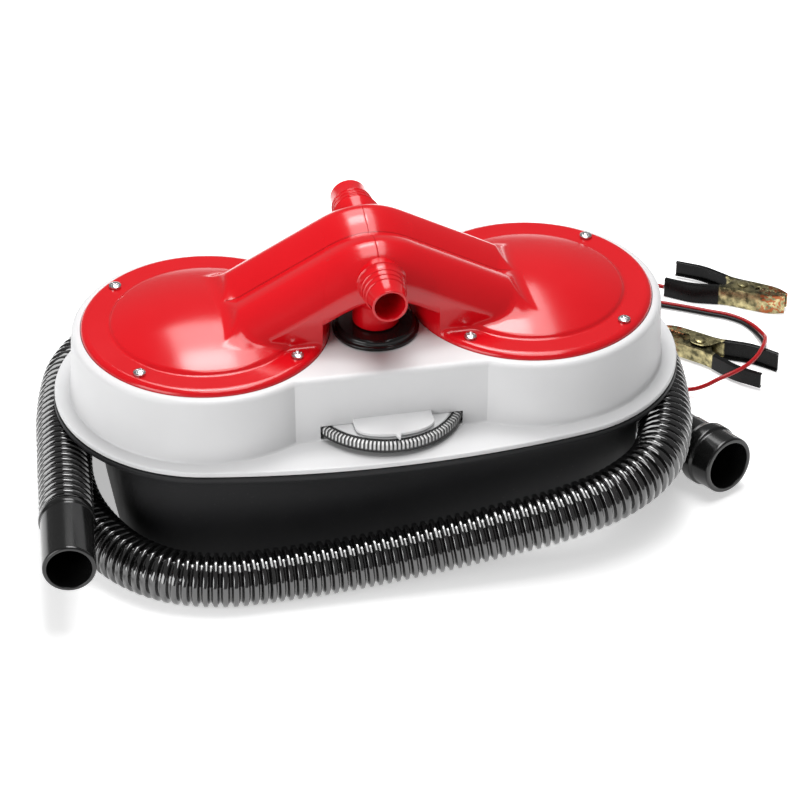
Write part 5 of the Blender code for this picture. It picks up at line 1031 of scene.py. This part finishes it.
for label, mirror in (("right", 1.0), ("left", -1.0)):
    grids = [lid_grid(), bridge_grid()]
    flip = [(grid if mirror > 0 else grid[:, ::-1]) * (mirror, 1.0, 1.0) for grid in grids]
    cover = skin(f"cover_{label}", *flip, crease=30.0)
    paint(cover, "dome", on_dome)
    piece(cover, "body", "red", RED, f"{label}_cover")

# %% [markdown]
# ## Spigots and the sense tube
# The two spigots are turned: a flared root, three thin rings to hold a hose, and a thick mouth. The
# sense tube under the arch is a plain boss that flares into the arm's belly.

# %%
SPIGOT_Z, SPIGOT_START, SPIGOT_BORE = 142.0, 26.0, 8.0


def spigot(name, front, mouth_radius):
    """A turned tube from inside the arm to its mouth, with thin raised rings on a slight taper."""
    s = np.linspace(7.0, 28.2, 170)
    taper = 11.75 + (mouth_radius - 11.75) * smoothstep(8.0, 28.0, s)
    flare = 2.6 * np.exp(-((s - 6.4) / 1.5))
    rings = sum(0.5 * np.exp(-(((s - at) / 0.5) ** 4)) for at in (11.5, 15.0, 18.5))
    outside_line = np.stack([taper + flare + rings, s], axis=1)
    edge = [(mouth_radius, 28.2), (mouth_radius, 29.0), (SPIGOT_BORE, 29.0), (SPIGOT_BORE, 26.0)]
    root, end = [(SPIGOT_BORE, 0.0), (11.75, 0.0)], [(SPIGOT_BORE, 0.0)]
    line = np.concatenate([root, outside_line, soften(edge, 0.7)[1:], end])
    origin = (0.0, front * SPIGOT_START, SPIGOT_Z)
    made = skin(name, aimed(turned(line, steps=96), origin, (0.0, front, 0.0)))
    paint(made, "dome", lambda points: 0.0 * points[:, 0])
    return piece(made, "body", "red", RED, name.replace("_piece", "_spigot"))


spigot("delivery_piece", -1.0, 9.5)
spigot("intake_piece", 1.0, 10.0)
tube_line = [(0.0, 110.6), (11.6, 110.6), (12.5, 111.5), (12.5, 120.0), (13.0, 125.0), (15.0, 129.6),
             (0.0, 129.6)]
sense = skin("sense_piece", turned(soften(tube_line, 1.2), (0.0, -19.0), 80))
paint(sense, "dome", lambda points: 0.0 * points[:, 0])
piece(sense, "body", "red", RED, "sense_tube")

# %% [markdown]
# ## The relief capsule and the dial
# The capsule's cap is a stepped black disc on the deck, with its barrel below. The dial is a white
# disc with a track for the plunger's tip, and a black ring with open grip slots is pressed on its
# edge. The ring is turned with its outline waving once for each tooth, both round the edge and
# across the top. Its slots are painted pale grey as a painted highlight on the knurl.

# %%
CAPSULE = (0.0, -19.0)
cap_line = [
    (0.0, 110.3), (19.8, 110.3), (21.1, 109.4), (21.4, 107.5), (23.0, 107.1), (23.0, 105.3),
    (13.5, 105.3), (13.5, 82.3), (8.0, 82.3), (8.0, 105.3), (0.0, 105.3),
]
cap = skin("capsule_piece", turned(soften(cap_line, 0.5), CAPSULE, 120))
piece(cap, "body", "black", BLACK, "relief_capsule")

DIAL, DIAL_EDGE, TEETH = (0.0, -42.0), 37.7, 121
disc_line = [
    (4.35, 69.8), (DIAL_EDGE, 69.8), (DIAL_EDGE, 75.1), (37.0, 75.8), (27.5, 75.8), (27.2, 71.7),
    (18.8, 71.7), (18.5, 74.9), (4.35, 74.9),
]
disc = skin("dial_piece", turned(soften(disc_line, 0.4, closed=True), DIAL, 160))
piece(disc, "dial", "white", WHITE, "pressure_dial")


def grip_finish_painted_highlights():
    """Black ring whose slots are painted pale grey as highlights on the knurl."""
    finish = Finish("grip_black_painted_highlights", Specular_IOR_Level=0.35)
    base = finish.mix(finish.noise(200.0, 3.0), rgb(0.010, 0.010, 0.011), grey(0.02))
    # painted highlight: the slots are coloured pale grey (0.80) for the light that the knurl's faces
    # catch
    finish.set(Base_Color=finish.mix(finish.mark("slot"), base, grey(0.80)))
    finish.set(Roughness=0.28 + finish.noise(300.0, 3.0) * 0.15)
    return finish.bump(finish.noise(1200.0, 3.0), 0.00001)


def tooth_wave(angle):
    """0 in a slot and 1 on a tooth, with short slopes between, so many times round the ring."""
    return smoothstep(0.35, 0.65, np.abs(2.0 * ((angle * TEETH / TURN) % 1.0) - 1.0))


def grip_grid():
    """The ring's section at each angle: its edge and its top sink by the depth of a slot."""
    angle = np.linspace(0.0, TURN, TEETH * 10, endpoint=False)
    slot_depth = 1.0 - tooth_wave(angle)
    radius = [38.0, 41.6, 42.5, 42.5, 42.5, 42.5, 41.9, 40.4, 39.2, 38.9, 38.6, 38.0, 38.0]
    height = [69.8, 69.8, 70.4, 71.6, 72.0, 74.6, 75.5, 75.8, 75.8, 75.8, 75.8, 75.8, 69.8]
    sink_out = np.array([0, 0, 0, 0, 0.8, 0.9, 0.9, 0.5, 0.1, 0, 0, 0, 0])[:, None] * slot_depth
    sink_down = np.array([0, 0, 0, 0, 0, 0, 0.6, 0.7, 0.7, 0.7, 0, 0, 0])[:, None] * slot_depth
    r, z = np.array(radius)[:, None] - sink_out, np.array(height)[:, None] - sink_down
    return np.stack([DIAL[0] + r * np.cos(angle), DIAL[1] + r * np.sin(angle), z], axis=-1)


def slot_highlight_mark(points):
    """1 in the slots of the ring's top and upper edge, where the pale painted highlight goes."""
    x, y = points[:, 0] - DIAL[0], points[:, 1] - DIAL[1]
    upper = smoothstep(71.7, 71.9, points[:, 2]) * smoothstep(38.92, 39.05, np.hypot(x, y))
    return (1.0 - tooth_wave(np.arctan2(y, x))) * upper


grip = skin("grip_piece", grip_grid(), crease=40.0)
# marks where the pale grey of the painted highlight goes
paint(grip, "slot", slot_highlight_mark)
piece(grip, "dial", "black", grip_finish_painted_highlights(), "dial_grip_ring")

# %% [markdown]
# ## Screws
# The lids are held by pan-head cross-recess screws, four to each, and the case is held down from
# below by four more. A head is a grid of turns and radii, whose height sinks inside a tapered cross.

# %%
HEAD_RADIUS, HEAD_HEIGHT, SHANK_RADIUS = 3.3, 2.2, 1.5


def screw_grid(turn, shank):
    """A pan head h (1 - 0.4 (r/R)^3) less its cross recess, then the head's side and a shank."""
    angle = np.linspace(0.0, TURN, 112, endpoint=False)
    r = np.concatenate([np.linspace(0.0, 3.0, 26), [3.18, 3.3]])[:, None]
    x, y = np.abs(r * np.cos(angle + turn)), np.abs(r * np.sin(angle + turn))
    slot = np.minimum(np.maximum(x / 1.95, y / 0.55), np.maximum(y / 1.95, x / 0.55))
    sunk = 1.25 * smoothstep(1.15, 0.75, slot) * (1.0 - 0.45 * np.clip(r / 2.0, 0, 1))
    z = HEAD_HEIGHT * (1.0 - 0.42 * (r / HEAD_RADIUS) ** 3) - sunk
    head = np.stack([r * np.cos(angle), r * np.sin(angle), z], axis=-1)
    line = [(3.3, 0.5), (3.15, 0.0), (SHANK_RADIUS, 0.0), (SHANK_RADIUS, -shank), (0.0, -shank - 1.0)]
    return np.concatenate([head, turned(line, steps=112)])


number = 0
for side_x in (-HALF_SPACING, HALF_SPACING):
    for quarter_turn in range(4):
        number += 1
        a = math.radians(45.0 + 90.0 * quarter_turn)
        spot = (side_x + 59.0 * math.cos(a), 59.0 * math.sin(a), LID_TOP + 0.1)
        head = skin(f"lid_head_{number}", screw_grid(0.4 + 1.1 * number, 9.0) + spot, crease=40.0)
        piece(head, "body", "steel", STEEL, f"lid_screw_{number}")
for i, (x, y) in enumerate(SCREW_SPOTS):
    grid = screw_grid(0.7 * i, 40.0)[:, ::-1] * (1.0, 1.0, -1.0) + (x, y, 11.0)
    piece(skin(f"base_head_{i + 1}", grid, crease=40.0), "body", "steel", STEEL, f"base_screw_{i + 1}")

# %% [markdown]
# ## The lead gland
# A soft sleeve with bellows rings keeps the leads from kinking where they leave the case. It is
# turned, and pointed straight back.

# %%
s = np.linspace(0.0, 1.0, 120)
sleeve_radius = 5.0 - 1.3 * s - 0.45 * (0.5 - 0.5 * np.cos(TURN * 6 * s)) * smoothstep(0.0, 0.1, s)
sleeve = np.stack([sleeve_radius, 66.3 + (82.5 - 66.3) * s], axis=1)
flange = soften([(0.0, 55.0), (5.0, 55.0), (5.0, 62.8), (7.5, 62.8), (7.5, 65.3), (5.2, 66.0)], 0.6)
gland_line = np.concatenate([flange, sleeve, [(2.6, 82.8), (0.0, 82.8)]])
gland = skin("gland_piece", aimed(turned(gland_line, steps=56), (30.0, 0.0, 84.0), (0.0, 1.0, 0.0)))
piece(gland, "body", "black", BLACK, "lead_gland")

# %% [markdown]
# ## The diaphragms and the relief spring
# Each rod moves round a small circle, so it lifts its diaphragm and also rocks it sideways. The
# real rubber rolls. Here each diaphragm is parted where it would roll: its disc rides on the rod
# between the rod's plate and the piston plate, and its ring stays in the seat. The ring's lip
# passes the disc on the side that the disc moves away from. That is above the left disc, which
# rests at the top of its stroke, and below the right one, which rests at the bottom. The relief
# spring is a wound wire inside the capsule's barrel.

# %%
DISC_HOLE, DISC_EDGE, DISC_THICKNESS = 3.8, 36.0, 1.6
RING_BEAD = [(47.0, 96.25), (55.0, 96.25), (55.0, 98.25), (46.0, 98.25), (43.6, 95.25)]
LEFT_RING = [
    (34.4, 91.65), (34.4, 90.25), (37.0, 90.3), (40.0, 91.0), (45.0, 93.75), *RING_BEAD,
    (39.4, 92.6), (36.8, 91.75),
]
RIGHT_RING = [
    (34.4, 79.85), (34.4, 78.45), (39.3, 78.4), (42.4, 80.4), (43.0, 84.0), (43.2, 88.0),
    (45.0, 93.75), *RING_BEAD, (41.6, 88.0), (41.4, 84.0), (41.0, 81.2), (38.5, 79.85),
]
SPRING_LOW, SPRING_HIGH, PLUNGER_LIFT = 85.0, 105.0, 3.0


def diaphragm(label, side_x, low, ring_line):
    """The disc of one diaphragm on its rod, and the ring round it in the seat."""
    high = low + DISC_THICKNESS
    line = [(DISC_HOLE, low), (DISC_EDGE, low), (DISC_EDGE, high), (DISC_HOLE, high)]
    shape = turned(soften(line, 0.5, closed=True), (side_x, 0.0), 120)
    piece(skin(f"{label}_disc", shape), f"{label}_rod", "rubber", RUBBER)
    shape = turned(soften(ring_line, 0.5, closed=True), (side_x, 0.0), 120)
    piece(skin(f"{label}_ring", shape), "body", "rubber", RUBBER, f"{label}_diaphragm")


diaphragm("left", -HALF_SPACING, 88.25, LEFT_RING)
diaphragm("right", HALF_SPACING, 80.25, RIGHT_RING)
wound = spiral(5.2, SPRING_LOW, SPRING_HIGH, 0.6, 4.0, CAPSULE)
spring = piece(skin("spring_piece", wound, crease=60.0), "body", "steel", STEEL, "relief_spring")
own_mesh(spring)

# %% [markdown]
# ## What stays hidden
# The motor, the rods, the valves and the relief plunger sit inside and keep their exact solids.
# Each one only takes the finish that its own slot of the record names.

# %%
kept = [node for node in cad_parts.values() if not node.hide_render]
for node in kept:
    for holder in node.material_slots:
        wanted = [key for key in FINISHES if holder.material and holder.material.name.startswith(key)]
        best = max(wanted, key=len, default="steel")
        holder.material = FINISHES[best].material
    print(node.name, "keeps its solid,", [holder.material.name for holder in node.material_slots])
